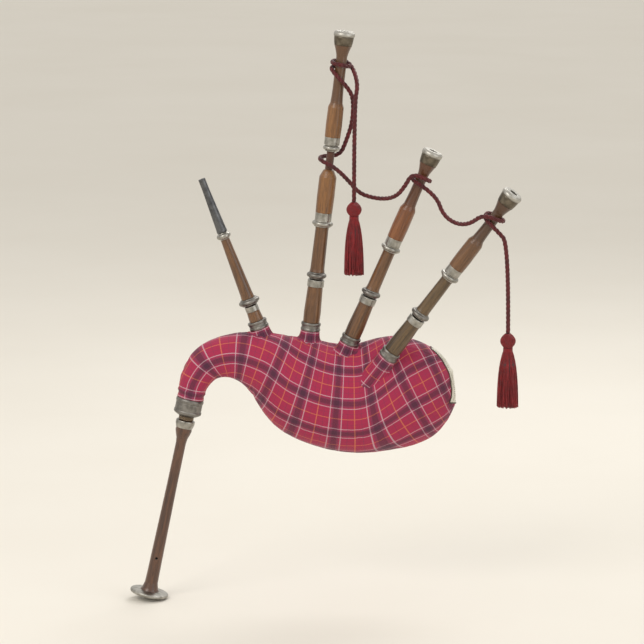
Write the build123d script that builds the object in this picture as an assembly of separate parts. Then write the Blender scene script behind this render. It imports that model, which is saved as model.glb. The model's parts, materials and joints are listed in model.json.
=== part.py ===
from build123d import *
import math
import os

# A three-drone Highland-type bagpipe, in millimetres.
# +X runs along the bag towards its rear, +Z is up, and the piper's arm presses on the -Y and +Y faces.
# The origin is the middle of the bag, where the arm holds the instrument.

# ---------------------------------------------------------------- driving dimensions
CORD_DIAMETER = 9.0
HIDE_THICKNESS = 3.0
COVER_THICKNESS = 1.4
RUNNING_GAP = 0.05          # radial clearance of a hemp-packed tenon in its socket
SOFT_GAP = 0.4              # clearance between soft layers that don't bind

# Stocks: the tied-in foot is slimmer than the turned body above the collar.
STOCK_FOOT_RADIUS = 13.0
STOCK_BODY_RADIUS = 16.4
STOCK_BORE_RADIUS = 8.5
STOCK_INSIDE = 32.0         # length of the stock inside the bag
COLLAR_HEIGHT = 17.0
COLLAR_RADIUS = 19.6
FERRULE_SEAT = 13.6         # radius of the wood under a drone stock's ferrule
TIE_DEPTH = 1.5             # the waxed thread that binds the bag's neck to a stock
TIE_TOP = 12.0
HIDE_NECK_RADIUS = STOCK_FOOT_RADIUS + 2.2
RECESS_GAP = 0.3            # room for the tie inside a collar
COLLAR_RECESS_RADIUS = HIDE_NECK_RADIUS + TIE_DEPTH + RECESS_GAP

# Drones, measured up each axis from the foot of the collar.
DRONE_STOCK_TOP = 104.0
DRONE_FERRULE_BASE = 89.0
DRONE_FERRULE_RADIUS = 16.6
RING_RADIUS = 19.8
RING_SEAT = 10.0            # radius of the wood inside a projecting ring
RING_GAP = 1.5              # between the stock's top and the ring above it
RING_HEIGHT = 13.5
TENON_RADIUS = 8.4
TENON_BOTTOM = 58.0         # the tenon reaches this far down into the stock
TUNING_PIN_RADIUS = 8.0
TUNING_PIN_LENGTH = 68.0    # above the joint that carries it
DRONE_BORE_RADIUS = 4.0
HEMP_DEPTH = 1.4

TENOR_SOCKET_BASE = 204.0   # lower end of the tenor's top joint
TENOR_SHOULDER = 303.0
TENOR_TOP = 422.0
TENOR_BOTTOM_RADIUS = 14.0
TENOR_TOP_RADIUS = 16.0

BASS_SOCKET_BASE = 210.0    # lower end of the bass's middle joint
BASS_MIDDLE_SHOULDER = 324.0
BASS_TOP_BASE = 361.0       # lower end of the bass's top joint
BASS_TOP_SHOULDER = 457.0
BASS_TOP = 599.0
BASS_BOTTOM_RADIUS = 15.0
BASS_MIDDLE_RADIUS = 17.0
BASS_TOP_RADIUS = 15.5

# Drone reeds
REED_SEAT_RADIUS = 4.2
REED_SEAT_DEPTH = 14.0
REED_RADIUS = 4.2
REED_LENGTH = 82.0
REED_BORE_RADIUS = 2.4
REED_FLAT_DEPTH = 1.3       # how far the flat under the tongue is cut in
REED_FLAT_FOOT = 8.0
REED_FLAT_LENGTH = 50.0
TONGUE_WIDTH = 4.6
TONGUE_THICKNESS = 1.0
BRIDLE_WIDTH = 3.0

# Tuning sockets, necks, bells and caps
SOCKET_RADIUS = TUNING_PIN_RADIUS + RUNNING_GAP
SOCKET_DEPTH = 74.0
SOCKET_FERRULE_SEAT = 11.5
SOCKET_FERRULE_HEIGHT = 28.0
SOCKET_RIM_HEIGHT = 13.0
NECK_RADIUS = 10.8
BELL_RADIUS = 17.5
BELL_WALL = 3.5             # from the bell's outside to the seat of its cap
BELL_CHAMBER_RADIUS = 11.0
BELL_CHAMBER_DEPTH = 38.0
BELL_HOLE_RADIUS = 8.0
CAP_RADIUS = 21.0
CAP_HEIGHT = 28.0
CAP_ROOF = 5.0

# Blowpipe
BLOWPIPE_FERRULE_BASE = 37.0
BLOWPIPE_STOCK_TOP = 50.0
BLOWPIPE_FERRULE_RADIUS = 13.4
BLOWPIPE_SEAT = 11.0
BLOWPIPE_FOOT = 6.0
BLOWPIPE_FLANGE_BASE = BLOWPIPE_STOCK_TOP + 1
BLOWPIPE_FLANGE_TOP = BLOWPIPE_FLANGE_BASE + 14
BLOWPIPE_RING_RADIUS = 21.5
BLOWPIPE_BORE_RADIUS = 5.0
BLOWPIPE_TOP = 192.0
BLOWPIPE_TIP_SEAT = 7.6     # radius of the wood under the ferrule at its top
PULL_TENON_RADIUS = 5.6
PULL_SOCKET_DEPTH = 40.0
MOUTH_TIP_RADIUS = 7.0
MOUTH_BORE_RADIUS = 3.0
MOUTHPIECE_TOP = 320.0
FLAP_FACE = 5.6             # the valve's upper face when closed, just under the blowpipe's foot
FLAP_THICKNESS = 1.6
FLAP_RADIUS = 6.0
FLAP_HINGE_REACH = 6.8
FLAP_EAR_WIDTH = 6.0

# Chanter and its stock, measured down the axis from the top of the stock's collar
CHANTER_STOCK_RADIUS = 18.0
CHANTER_STOCK_HEAD = -45.0
CHANTER_STOCK_FOOT = 28.0
CHANTER_SOCKET_RADIUS = 11.0
CHANTER_COLLAR_RADIUS = 27.8
CHANTER_COLLAR_HEIGHT = 37.0
CHANTER_NECK_RADIUS = CHANTER_STOCK_RADIUS + 2.8
CHANTER_RECESS_RADIUS = CHANTER_NECK_RADIUS + TIE_DEPTH + RECESS_GAP
CHANTER_RECESS_DEPTH = 22.0
CHANTER_FERRULE_TOP = 45.0
CHANTER_BODY_TOP = 62.0
CHANTER_FERRULE_SEAT = 15.0
CHANTER_FOOT = 412.0
SOLE_TOP = CHANTER_FOOT - 9
SOLE_RADIUS = 39.0
SOLE_SEAT = 13.0
FOOT_HOLE_RADIUS = 10.0
CHANTER_THROAT_RADIUS = 2.2
CHANTER_REED_SEAT_RADIUS = 3.6
FINGER_HOLE_RADII = (2.4, 2.6, 2.9, 3.1, 3.0, 2.8, 3.2)
FIRST_FINGER_HOLE = 128.0
FINGER_HOLE_SPACING = 27.0
THUMB_HOLE = 118.0
THUMB_HOLE_RADIUS = 2.4
TONE_HOLES = 334.0          # the crosswise pair near the foot, which no finger covers
TONE_HOLE_RADIUS = 2.6
CROSS_DRILL_REACH = 40.0    # from the axis to well outside the chanter

# Bag, cover and trim
NECK_DEPTH = 34.0           # how far a neck is followed down into the bag's wall
BAG_REAR_HEIGHT = 60.0      # the sections smaller than this close the rear end
HIDE_INSET = COVER_THICKNESS + SOFT_GAP
SLEEVE_RADIUS = COLLAR_RADIUS - 0.6
COLLAR_CUT = 0.4            # hide and cloth stay this far under a collar
COLLAR_CUT_RADIUS = COLLAR_RADIUS + SOFT_GAP
CUT_LENGTH = 60.0           # longer than any stock is deep in the bag
TRIM_GAP = 0.3
TRIM_THICKNESS = 2.2
TRIM_START = 158.0          # the trim lies behind this X
TRIM_LOW, TRIM_HIGH = -12.0, 128.0
TRIM_LOW_WIDTH, TRIM_HIGH_WIDTH = 66.0, 20.0

# Sections down the bag from its neck to its rear: centre x, centre z, heading in degrees
# from straight up towards +X, half height across the heading, and half thickness along Y.
BAG_SECTIONS = (
    (-321.6, -3.3, 12.1, 27.0, 27.0),
    (-311.0, 36.0, 17.0, 30.0, 29.0),
    (-285.0, 70.0, 50.0, 36.0, 34.0),
    (-238.0, 84.0, 90.0, 43.0, 42.0),
    (-182.0, 71.0, 112.0, 60.0, 54.0),
    (-120.0, 30.0, 110.0, 92.0, 67.0),
    (-52.0, 4.0, 98.0, 104.0, 75.0),
    (10.0, -2.0, 90.0, 108.0, 78.0),
    (72.0, 8.0, 86.0, 113.0, 77.0),
    (126.0, 14.0, 84.0, 104.0, 69.0),
    (166.0, 17.0, 84.0, 82.0, 54.0),
    (188.0, 17.0, 84.0, 58.0, 38.0),
    (200.0, 17.0, 84.0, 32.0, 21.0),
    (203.0, 17.0, 84.0, 14.0, 9.0),
)

# Routes of the drone cord.
# The bass drone's neck: up from the first tassel, round the neck, and down across its front.
BASS_NECK_ROUTE = (
    (3.5, -28, 395), (3.5, -28, 590), (12, -26, 628), (-4.7, 17, 668.3), (-38.8, 17, 669.2),
    (-39.1, -17, 666.2), (-5.6, -17, 660.3), (-5.9, 17, 657.4), (-40, 17, 658.2),
    (-40.7, -17, 652.3), (-5.7, -16, 615.1), (2.3, -4, 592), (1.3, 1, 570),
)
# Past the top joint's ring, round the bare tuning pin below it, and out to the right.
BASS_WAIST_ROUTE = (
    (1.3, 1, 570), (0.3, 6, 548), (-11.5, 12, 511), (-24.1, 19, 480.3), (-61.4, 17, 479.5),
    (-64.8, -12, 475.9), (-35.2, -20, 462.4), (-8, -2, 434), (2, 0.5, 421.5),
)
# The hanging lengths: to the first tenor's neck, round it, to the second's, round it, and down.
TENOR_ROUTE = (
    (2, 0.5, 421.5), (12, 3, 409), (36, -8, 401), (64, -28, 400), (86, -52, 409),
    (102, -68, 430), (117.2, -64.3, 456.8), (152, -61.2, 438.9), (151.2, -27, 437),
    (118.4, -26.8, 446.7), (117.3, -59.5, 441.8), (145.7, -60.2, 424.2), (167, -68, 404),
    (174, -80, 384), (187, -92, 369), (207, -112, 362), (228, -134, 367), (252, -154, 388),
    (291.3, -147.7, 371.2), (292.5, -113.5, 372.8), (261.4, -112.5, 387.8),
    (254.5, -144.9, 378.2), (279.3, -144, 354.4), (302, -153, 330), (302, -153, 155),
)


# ---------------------------------------------------------------- axes of the five pipes
def pipe_plane(foot, lean, tilt=0.0):
    """A plane at the foot of a pipe, whose Z runs up the pipe.

    lean turns the pipe towards +X, and tilt turns it towards -Y, both in degrees."""
    lean, tilt = math.radians(lean), math.radians(tilt)
    up = Vector(math.sin(lean) * math.cos(tilt), -math.sin(tilt), math.cos(lean) * math.cos(tilt))
    across = Vector(math.cos(lean), 0, -math.sin(lean))
    return Plane(origin=foot, x_dir=across, z_dir=up)


BASS = pipe_plane((-82.8, 0, 132.7), 6.5)
TENOR_1 = pipe_plane((-6.6, -22.5, 110.4), 23.1, 3.4)
TENOR_2 = pipe_plane((68.9, -67.4, 90.8), 35.7, 10.0)
BLOWPIPE = pipe_plane((-183.2, 0, 136.9), -20.8)
CHANTER = pipe_plane((-321.6, 0, -3.3), 180 + 12.1)
PIPES_ON_TOP = (BASS, TENOR_1, TENOR_2, BLOWPIPE)

# ---------------------------------------------------------------- makers
FOOT = (Align.CENTER, Align.CENTER, Align.MIN)
nodes = {}


def keep(name, plane, *solids):
    """Place solids on a pipe's plane and keep them in one node."""
    nodes.setdefault(name, []).extend(plane.location * solid for solid in solids)


def turned(outline, bore=0.0):
    """A turned piece about Z from (radius, height) points, with a straight bore."""
    low, high = outline[0][1], outline[-1][1]
    with BuildPart() as piece:
        with BuildSketch(Plane.XZ):
            with BuildLine():
                Polyline(*outline, (bore, high), (bore, low), close=True)
            make_face()
        revolve(axis=Axis.Z)
    return piece.part


def upright(radius, low, high):
    """A plain cylinder about Z."""
    return Pos(0, 0, low) * Cylinder(radius, high - low, align=FOOT)


def hollowed(piece, *bores):
    """Cut (radius, from, to) cylinders about Z from a turned piece."""
    for bore in bores:
        piece = piece - upright(*bore)
    return piece


def bead(radius, middle, half_height, depth, steps=6):
    """Outline points of a rounded rim that stands out to radius from radius - depth."""
    points = []
    for step in range(steps + 1):
        angle = math.pi * (step / steps - 0.5)
        points.append((radius - depth + depth * math.cos(angle), middle + half_height * math.sin(angle)))
    return points


def winding(radius, depth, low, high, turns):
    """A thread winding: a sleeve with a rounded ridge for each band of thread."""
    step = (high - low) / turns
    outline = []
    for turn in range(turns):
        base = low + turn * step
        outline += [(radius - depth / 3, base), (radius, base + step / 2)]
    outline.append((radius - depth / 3, high))
    return turned(outline, radius - depth)


def projecting_ring(radius, low, high, bore):
    """A turned ring with a broad rounded rim between two narrow fillets."""
    middle, half = (low + high) / 2, (high - low) / 2
    depth = 4.5
    neck = radius - depth
    return turned(
        [(neck - 1, low), (neck, low + 1.2)] + bead(radius, middle, half - 2.2, depth)
        + [(neck, high - 1.2), (neck - 1, high)], bore)


# ---------------------------------------------------------------- stocks
def drone_stock():
    return turned([
        (STOCK_FOOT_RADIUS - 1, -STOCK_INSIDE), (STOCK_FOOT_RADIUS, -STOCK_INSIDE + 1),
        (STOCK_FOOT_RADIUS, COLLAR_HEIGHT),
        (STOCK_BODY_RADIUS, COLLAR_HEIGHT), (STOCK_BODY_RADIUS + 0.5, COLLAR_HEIGHT + 20),
        (STOCK_BODY_RADIUS - 1.4, DRONE_FERRULE_BASE), (FERRULE_SEAT, DRONE_FERRULE_BASE),
        (FERRULE_SEAT, DRONE_STOCK_TOP - 2),
    ], STOCK_BORE_RADIUS)


def blowpipe_stock():
    return turned([
        (STOCK_FOOT_RADIUS - 1, -STOCK_INSIDE), (STOCK_FOOT_RADIUS, -STOCK_INSIDE + 1),
        (STOCK_FOOT_RADIUS, COLLAR_HEIGHT),
        (STOCK_FOOT_RADIUS + 1.5, COLLAR_HEIGHT), (STOCK_FOOT_RADIUS, BLOWPIPE_FERRULE_BASE),
        (BLOWPIPE_SEAT, BLOWPIPE_FERRULE_BASE), (BLOWPIPE_SEAT, BLOWPIPE_STOCK_TOP - 2),
    ], STOCK_BORE_RADIUS)


def stock_collar():
    """The metal collar that covers the tie at the foot of a stock, with a bead at each end."""
    collar = turned(bead(COLLAR_RADIUS, 3, 3, 1.2) + bead(COLLAR_RADIUS, COLLAR_HEIGHT - 3, 3, 1.2),
                    STOCK_FOOT_RADIUS)
    return hollowed(collar, (COLLAR_RECESS_RADIUS, -1, TIE_TOP + 1))


def stock_tie(radius, low, high):
    """Waxed thread wound round a neck of the bag to bind it to its stock."""
    return winding(radius + TIE_DEPTH, TIE_DEPTH, low, high, 5)


def stock_ferrule(seat, radius, low, high):
    """A plain ferrule that closes over the top of a stock."""
    sleeve = turned([(radius - 0.6, low), (radius, low + 0.8), (radius, high - 1.5),
                     (radius - 1.5, high)], STOCK_BORE_RADIUS)
    return hollowed(sleeve, (seat, low - 1, high - 2))


def stocks_on_top():
    """The three drone stocks and the blowpipe's, with their collars, ties and ferrules."""
    for plane in PIPES_ON_TOP:
        keep("stock_collars", plane, stock_collar())
        keep("stock_ties", plane, stock_tie(HIDE_NECK_RADIUS, 1.5, TIE_TOP - 1.5))
    for name, plane in (("bass", BASS), ("tenor_1", TENOR_1), ("tenor_2", TENOR_2)):
        keep(f"{name}_stock", plane, drone_stock())
        keep("stock_ferrules", plane,
             stock_ferrule(FERRULE_SEAT, DRONE_FERRULE_RADIUS, DRONE_FERRULE_BASE, DRONE_STOCK_TOP))
    keep("blowpipe_stock", BLOWPIPE, blowpipe_stock())
    keep("stock_ferrules", BLOWPIPE,
         stock_ferrule(BLOWPIPE_SEAT, BLOWPIPE_FERRULE_RADIUS, BLOWPIPE_FERRULE_BASE, BLOWPIPE_STOCK_TOP))


def chanter_stock():
    """The short stock in the bag's neck, and the long collar over its tie."""
    flange = CHANTER_STOCK_RADIUS + 1.5
    stock = turned([
        (flange, CHANTER_STOCK_HEAD), (flange, CHANTER_STOCK_HEAD + 4),
        (CHANTER_STOCK_RADIUS, CHANTER_STOCK_HEAD + 6), (CHANTER_STOCK_RADIUS, CHANTER_STOCK_FOOT),
    ], CHANTER_SOCKET_RADIUS)
    barrel = CHANTER_COLLAR_RADIUS - 1.2
    collar = turned(
        [(CHANTER_COLLAR_RADIUS - 1.5, 1)] + bead(CHANTER_COLLAR_RADIUS, 6, 4, 1.5)
        + [(barrel, 11), (barrel, 24)]
        + bead(CHANTER_COLLAR_RADIUS, 28.5, 3.5, 1.5)
        + [(CHANTER_STOCK_RADIUS + 0.5, CHANTER_COLLAR_HEIGHT)], CHANTER_SOCKET_RADIUS)
    collar = hollowed(collar, (CHANTER_STOCK_RADIUS, 0, CHANTER_STOCK_FOOT),
                      (CHANTER_RECESS_RADIUS, 0, CHANTER_RECESS_DEPTH))
    keep("chanter_stock", CHANTER, stock)
    keep("chanter_stock_collar", CHANTER, collar)
    keep("stock_ties", CHANTER, stock_tie(CHANTER_NECK_RADIUS, 4, 18))


# ---------------------------------------------------------------- drone joints
def bottom_joint(ring_high, body_top, pin_top, body_radius):
    """The joint that plugs into the stock below and carries a tuning pin above."""
    tenon, pin = TENON_RADIUS - HEMP_DEPTH, TUNING_PIN_RADIUS - HEMP_DEPTH
    body = turned([
        (tenon - 1, TENON_BOTTOM), (tenon, TENON_BOTTOM + 4),
        (tenon, DRONE_STOCK_TOP + 1), (RING_SEAT, DRONE_STOCK_TOP + 1),
        (RING_SEAT, ring_high), (body_radius, ring_high), (body_radius - 1.0, ring_high + 6),
        (body_radius - 2.0, body_top - 5), (body_radius - 1.5, body_top),
        (pin, body_top), (pin, pin_top),
    ], DRONE_BORE_RADIUS)
    return hollowed(body, (REED_SEAT_RADIUS, TENON_BOTTOM - 1, TENON_BOTTOM + REED_SEAT_DEPTH))


def drone_reed(name, plane):
    """Cane reed: a closed tube with a flat, on which a tongue lies under a bridle."""
    top = TENON_BOTTOM + REED_SEAT_DEPTH - 2
    low = top - REED_LENGTH
    flat = REED_RADIUS - REED_FLAT_DEPTH
    flat_low = low + REED_FLAT_FOOT
    body = turned([(REED_RADIUS - 0.8, low), (REED_RADIUS, low + 1), (REED_RADIUS, top)])
    body = hollowed(body, (REED_BORE_RADIUS, low + 4, top + 1))
    body = body - Pos(flat + 5, 0, flat_low) * Box(10, 12, REED_FLAT_LENGTH, align=FOOT)
    tongue = Pos(flat + 0.1 + TONGUE_THICKNESS / 2, 0, flat_low + 1) * Box(
        TONGUE_THICKNESS, TONGUE_WIDTH, REED_FLAT_LENGTH - 2, align=FOOT)
    bridle = Pos(0, 0, flat_low + REED_FLAT_LENGTH - 9) * (
        Cylinder(REED_RADIUS + 1.4, BRIDLE_WIDTH, align=FOOT)
        - Cylinder(REED_RADIUS + 0.5, BRIDLE_WIDTH, align=FOOT))
    keep(f"{name}_reed", plane, body)
    keep(f"{name}_reed_tongue", plane, tongue)
    keep(f"{name}_reed_bridle", plane, bridle)


def drone_base(name, plane, body_top, body_radius):
    """Bottom joint, its ring, its two hemp windings and the reed in its foot."""
    ring_low = DRONE_STOCK_TOP + RING_GAP
    ring_high = ring_low + RING_HEIGHT
    pin_top = body_top + TUNING_PIN_LENGTH
    keep(f"{name}_bottom_joint", plane, bottom_joint(ring_high, body_top, pin_top, body_radius))
    keep(f"{name}_bottom_ring", plane, projecting_ring(RING_RADIUS, ring_low, ring_high, RING_SEAT))
    keep(f"{name}_bottom_hemp", plane,
         winding(TENON_RADIUS, HEMP_DEPTH, TENON_BOTTOM + 8, DRONE_STOCK_TOP - 6, 9),
         winding(TUNING_PIN_RADIUS, HEMP_DEPTH, pin_top - 38, pin_top - 6, 9))
    drone_reed(name, plane)


def socket_ferrule(base, rim, sleeve):
    """A broad rim at the mouth of a tuning socket, with a plain sleeve above it."""
    depth = 4.5
    rim_top = base + SOCKET_RIM_HEIGHT
    outline = [(rim - depth - 0.5, base), (rim - depth, base + 1)]
    outline += bead(rim, base + SOCKET_RIM_HEIGHT / 2, depth, depth)
    outline += [(rim - depth, rim_top - 1), (sleeve, rim_top), (sleeve, base + SOCKET_FERRULE_HEIGHT)]
    ferrule = turned(outline, SOCKET_RADIUS + 0.3)
    return hollowed(ferrule, (SOCKET_FERRULE_SEAT, base + 2, base + SOCKET_FERRULE_HEIGHT + 1))


def top_joint(base, shoulder, top, body_radius):
    """The joint with the tuning socket below, a long neck and a bell above."""
    seat_top = base + SOCKET_FERRULE_HEIGHT
    cap_seat = BELL_RADIUS - BELL_WALL
    body = turned([
        (SOCKET_FERRULE_SEAT, base + 2), (SOCKET_FERRULE_SEAT, seat_top),
        (body_radius, seat_top), (body_radius + 0.6, seat_top + 24),
        (body_radius, shoulder - 8), (body_radius - 3.2, shoulder), (NECK_RADIUS + 1.4, shoulder + 1),
        (NECK_RADIUS + 0.6, shoulder + 12), (NECK_RADIUS, shoulder + 30),
        (NECK_RADIUS, top - 50), (NECK_RADIUS + 1.5, top - 43), (BELL_RADIUS - 1.5, top - 31),
        (BELL_RADIUS, top - CAP_HEIGHT), (cap_seat, top - CAP_HEIGHT), (cap_seat, top - CAP_ROOF),
    ], DRONE_BORE_RADIUS)
    return hollowed(body, (SOCKET_RADIUS, base, base + SOCKET_DEPTH),
                    (BELL_CHAMBER_RADIUS, top - BELL_CHAMBER_DEPTH, top))


def ring_cap(top):
    """The metal cap round the mouth of a bell, with a broad rounded brim."""
    low = top - CAP_HEIGHT
    outline = [(BELL_RADIUS - 0.5, low), (BELL_RADIUS + 0.8, low + 5), (CAP_RADIUS - 1.5, top - 12)]
    outline += bead(CAP_RADIUS, top - 6.5, 4.5, 2.0) + [(CAP_RADIUS - 3.5, top)]
    return hollowed(turned(outline, BELL_HOLE_RADIUS), (BELL_RADIUS - BELL_WALL, low - 1, top - CAP_ROOF))


def drone_top(name, plane, base, shoulder, top, body_radius, rim):
    keep(f"{name}_top_joint", plane, top_joint(base, shoulder, top, body_radius))
    keep(f"{name}_top_ferrule", plane, socket_ferrule(base, rim, body_radius - 0.4))
    keep(f"{name}_ring_cap", plane, ring_cap(top))


def bass_middle():
    """The bass's middle joint: a tuning socket below and a long tuning pin above."""
    base, shoulder = BASS_SOCKET_BASE, BASS_MIDDLE_SHOULDER
    pin, pin_top = TUNING_PIN_RADIUS - HEMP_DEPTH, BASS_TOP_BASE + TUNING_PIN_LENGTH
    seat_top = base + SOCKET_FERRULE_HEIGHT
    joint = turned([
        (SOCKET_FERRULE_SEAT, base + 2), (SOCKET_FERRULE_SEAT, seat_top),
        (BASS_MIDDLE_RADIUS - 0.4, seat_top), (BASS_MIDDLE_RADIUS + 0.4, base + 60),
        (BASS_MIDDLE_RADIUS, shoulder - 14), (BASS_MIDDLE_RADIUS - 6, shoulder - 2),
        (pin + 2.8, shoulder), (pin, shoulder), (pin, pin_top),
    ], DRONE_BORE_RADIUS)
    keep("bass_middle_joint", BASS, hollowed(joint, (SOCKET_RADIUS, base, base + SOCKET_DEPTH)))
    keep("bass_middle_ferrule", BASS, socket_ferrule(base, RING_RADIUS + 1.2, BASS_MIDDLE_RADIUS - 0.6))
    keep("bass_middle_hemp", BASS,
         winding(TUNING_PIN_RADIUS, HEMP_DEPTH, shoulder + 1, pin_top - 4, 26))


def drones():
    drone_base("bass", BASS, BASS_SOCKET_BASE, BASS_BOTTOM_RADIUS)
    bass_middle()
    drone_top("bass", BASS, BASS_TOP_BASE, BASS_TOP_SHOULDER, BASS_TOP, BASS_TOP_RADIUS,
              BASS_TOP_RADIUS + 1)
    for name, plane in (("tenor_1", TENOR_1), ("tenor_2", TENOR_2)):
        drone_base(name, plane, TENOR_SOCKET_BASE, TENOR_BOTTOM_RADIUS)
        drone_top(name, plane, TENOR_SOCKET_BASE, TENOR_SHOULDER, TENOR_TOP, TENOR_TOP_RADIUS, RING_RADIUS)


# ---------------------------------------------------------------- blowpipe
def blowpipe():
    """The blowpipe with its ring, ferrule, hemp, pull-out mouthpiece and leather valve."""
    tenon = TENON_RADIUS - HEMP_DEPTH
    tube = turned([
        (tenon, BLOWPIPE_FOOT), (tenon, BLOWPIPE_FLANGE_BASE),
        (RING_SEAT, BLOWPIPE_FLANGE_BASE), (RING_SEAT, BLOWPIPE_FLANGE_TOP),
        (13.6, BLOWPIPE_FLANGE_TOP), (12.6, BLOWPIPE_FLANGE_TOP + 10),
        (8.9, BLOWPIPE_TOP), (BLOWPIPE_TIP_SEAT, BLOWPIPE_TOP), (BLOWPIPE_TIP_SEAT, BLOWPIPE_TOP + 11),
    ], BLOWPIPE_BORE_RADIUS)
    keep("blowpipe", BLOWPIPE, hollowed(
        tube, (PULL_TENON_RADIUS + RUNNING_GAP, BLOWPIPE_TOP - PULL_SOCKET_DEPTH, BLOWPIPE_TOP + 12)))
    keep("blowpipe_ring", BLOWPIPE,
         projecting_ring(BLOWPIPE_RING_RADIUS, BLOWPIPE_FLANGE_BASE + 0.5, BLOWPIPE_FLANGE_TOP, RING_SEAT))
    ferrule = turned(
        [(9.6, BLOWPIPE_TOP)] + bead(14.4, BLOWPIPE_TOP + 7, 5, 4) + [(9.6, BLOWPIPE_TOP + 14)],
        PULL_TENON_RADIUS + 0.3)
    keep("blowpipe_ferrule", BLOWPIPE,
         hollowed(ferrule, (BLOWPIPE_TIP_SEAT, BLOWPIPE_TOP - 1, BLOWPIPE_TOP + 11)))
    keep("blowpipe_hemp", BLOWPIPE,
         winding(TENON_RADIUS, HEMP_DEPTH, BLOWPIPE_FOOT + 6, BLOWPIPE_STOCK_TOP - 4, 10))
    keep("mouthpiece", BLOWPIPE, turned([
        (PULL_TENON_RADIUS, BLOWPIPE_TOP - PULL_SOCKET_DEPTH + 8), (PULL_TENON_RADIUS, BLOWPIPE_TOP + 14.5),
        (10.2, BLOWPIPE_TOP + 14.5), (10.6, BLOWPIPE_TOP + 18), (10.0, BLOWPIPE_TOP + 22),
        (MOUTH_TIP_RADIUS, MOUTHPIECE_TOP - 22), (MOUTH_TIP_RADIUS, MOUTHPIECE_TOP),
    ], MOUTH_BORE_RADIUS))
    ear = Box(FLAP_HINGE_REACH, FLAP_EAR_WIDTH, FLAP_THICKNESS, align=(
        Align.MIN, Align.CENTER, Align.MIN))
    keep("valve_flap", BLOWPIPE, upright(FLAP_RADIUS, FLAP_FACE - FLAP_THICKNESS, FLAP_FACE)
         + Pos(0, 0, FLAP_FACE - FLAP_THICKNESS) * ear)


# ---------------------------------------------------------------- chanter
def cross_hole(height, turn, radius):
    """A drilled hole that runs out from the chanter's axis, at a turn about it in degrees."""
    return Rot(0, 0, turn) * Pos(0, 0, height) * Rot(0, 90, 0) * Cylinder(
        radius, CROSS_DRILL_REACH, align=FOOT)


def chanter_body():
    """The chanter's wood: a conical bore, seven finger holes, a thumb hole and two tone holes."""
    top, foot = CHANTER_BODY_TOP, CHANTER_FOOT
    body = turned([
        (CHANTER_SOCKET_RADIUS - 1.6, 2), (CHANTER_SOCKET_RADIUS - 1.6, CHANTER_FERRULE_TOP),
        (CHANTER_FERRULE_SEAT, CHANTER_FERRULE_TOP + 1), (CHANTER_FERRULE_SEAT, top),
        (16.0, top), (16.3, top + 6), (14.2, top + 14), (11.4, top + 22), (10.2, top + 32),
        (10.4, top + 120), (12.6, foot - 45), (13.2, foot - 25), (16.0, foot - 14), (19.0, SOLE_TOP),
        (SOLE_SEAT, SOLE_TOP), (SOLE_SEAT, foot - 3),
    ], CHANTER_THROAT_RADIUS)
    body = hollowed(body, (CHANTER_REED_SEAT_RADIUS, 1, 24))
    bore_start = 40
    body -= Pos(0, 0, bore_start) * Cone(CHANTER_THROAT_RADIUS, FOOT_HOLE_RADIUS, foot - bore_start,
                                         align=FOOT)
    for number, radius in enumerate(FINGER_HOLE_RADII):
        body -= cross_hole(FIRST_FINGER_HOLE + FINGER_HOLE_SPACING * number, 0, radius)
    body -= cross_hole(THUMB_HOLE, 180, THUMB_HOLE_RADIUS)
    for turn in (90, 270):
        body -= cross_hole(TONE_HOLES, turn, TONE_HOLE_RADIUS)
    return body


def chanter():
    """The chanter with its ferrule, two hemp windings, sole and double reed."""
    top, foot = CHANTER_FERRULE_TOP, CHANTER_FOOT
    keep("chanter", CHANTER, chanter_body())
    keep("chanter_ferrule", CHANTER, turned([
        (17.6, top + 1), (19.0, top + 2.5), (19.0, top + 9), (18.0, top + 12), (16.6, CHANTER_BODY_TOP),
    ], CHANTER_FERRULE_SEAT))
    keep("chanter_hemp", CHANTER,
         winding(CHANTER_SOCKET_RADIUS - RUNNING_GAP, 1.55, 6, CHANTER_COLLAR_HEIGHT - 0.2, 12),
         winding(15.4, 6.0, CHANTER_COLLAR_HEIGHT + 0.6, top, 3))
    sole = turned([(19.5, SOLE_TOP), (27.0, SOLE_TOP + 0.6)] + bead(SOLE_RADIUS, SOLE_TOP + 5, 3.6, 3.0)
                  + [(30.0, foot)], FOOT_HOLE_RADIUS)
    keep("chanter_sole", CHANTER, hollowed(sole, (SOLE_SEAT, SOLE_TOP - 1, foot - 3)))
    keep("chanter_reed_staple", CHANTER, turned([(2.6, -6), (3.2, 4), (3.55, 6), (3.55, 22)], 1.4))
    blades = loft([Plane(origin=(0, 0, -8)) * Circle(3.6), Plane(origin=(0, 0, -32)) * Ellipse(6.4, 1.5)])
    blades -= Pos(0, 0, -33) * Cylinder(0.9, 25, align=FOOT)
    blades -= Pos(0, 0, -33) * Box(10.5, 0.9, 8, align=FOOT)
    keep("chanter_reed", CHANTER, blades)


# ---------------------------------------------------------------- bag and cover
def bag_section(x, z, heading, half_height, half_thickness):
    """An elliptical section of the bag, square to its heading."""
    heading = math.radians(heading)
    ahead = Vector(math.sin(heading), 0, math.cos(heading))
    plane = Plane(origin=(x, 0, z), x_dir=(0, 1, 0), z_dir=ahead)
    return plane * Ellipse(half_thickness, half_height)


def bag_form(inset):
    """The bag's closed form, drawn in from the outside of the cover by inset."""
    sections = []
    for x, z, heading, half_height, half_thickness in BAG_SECTIONS:
        if heading == BAG_SECTIONS[-1][2] and half_height < BAG_REAR_HEIGHT:
            x = x - inset
        sections.append(bag_section(x, z, heading, half_height - inset, half_thickness - inset))
    return loft(sections)


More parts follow.
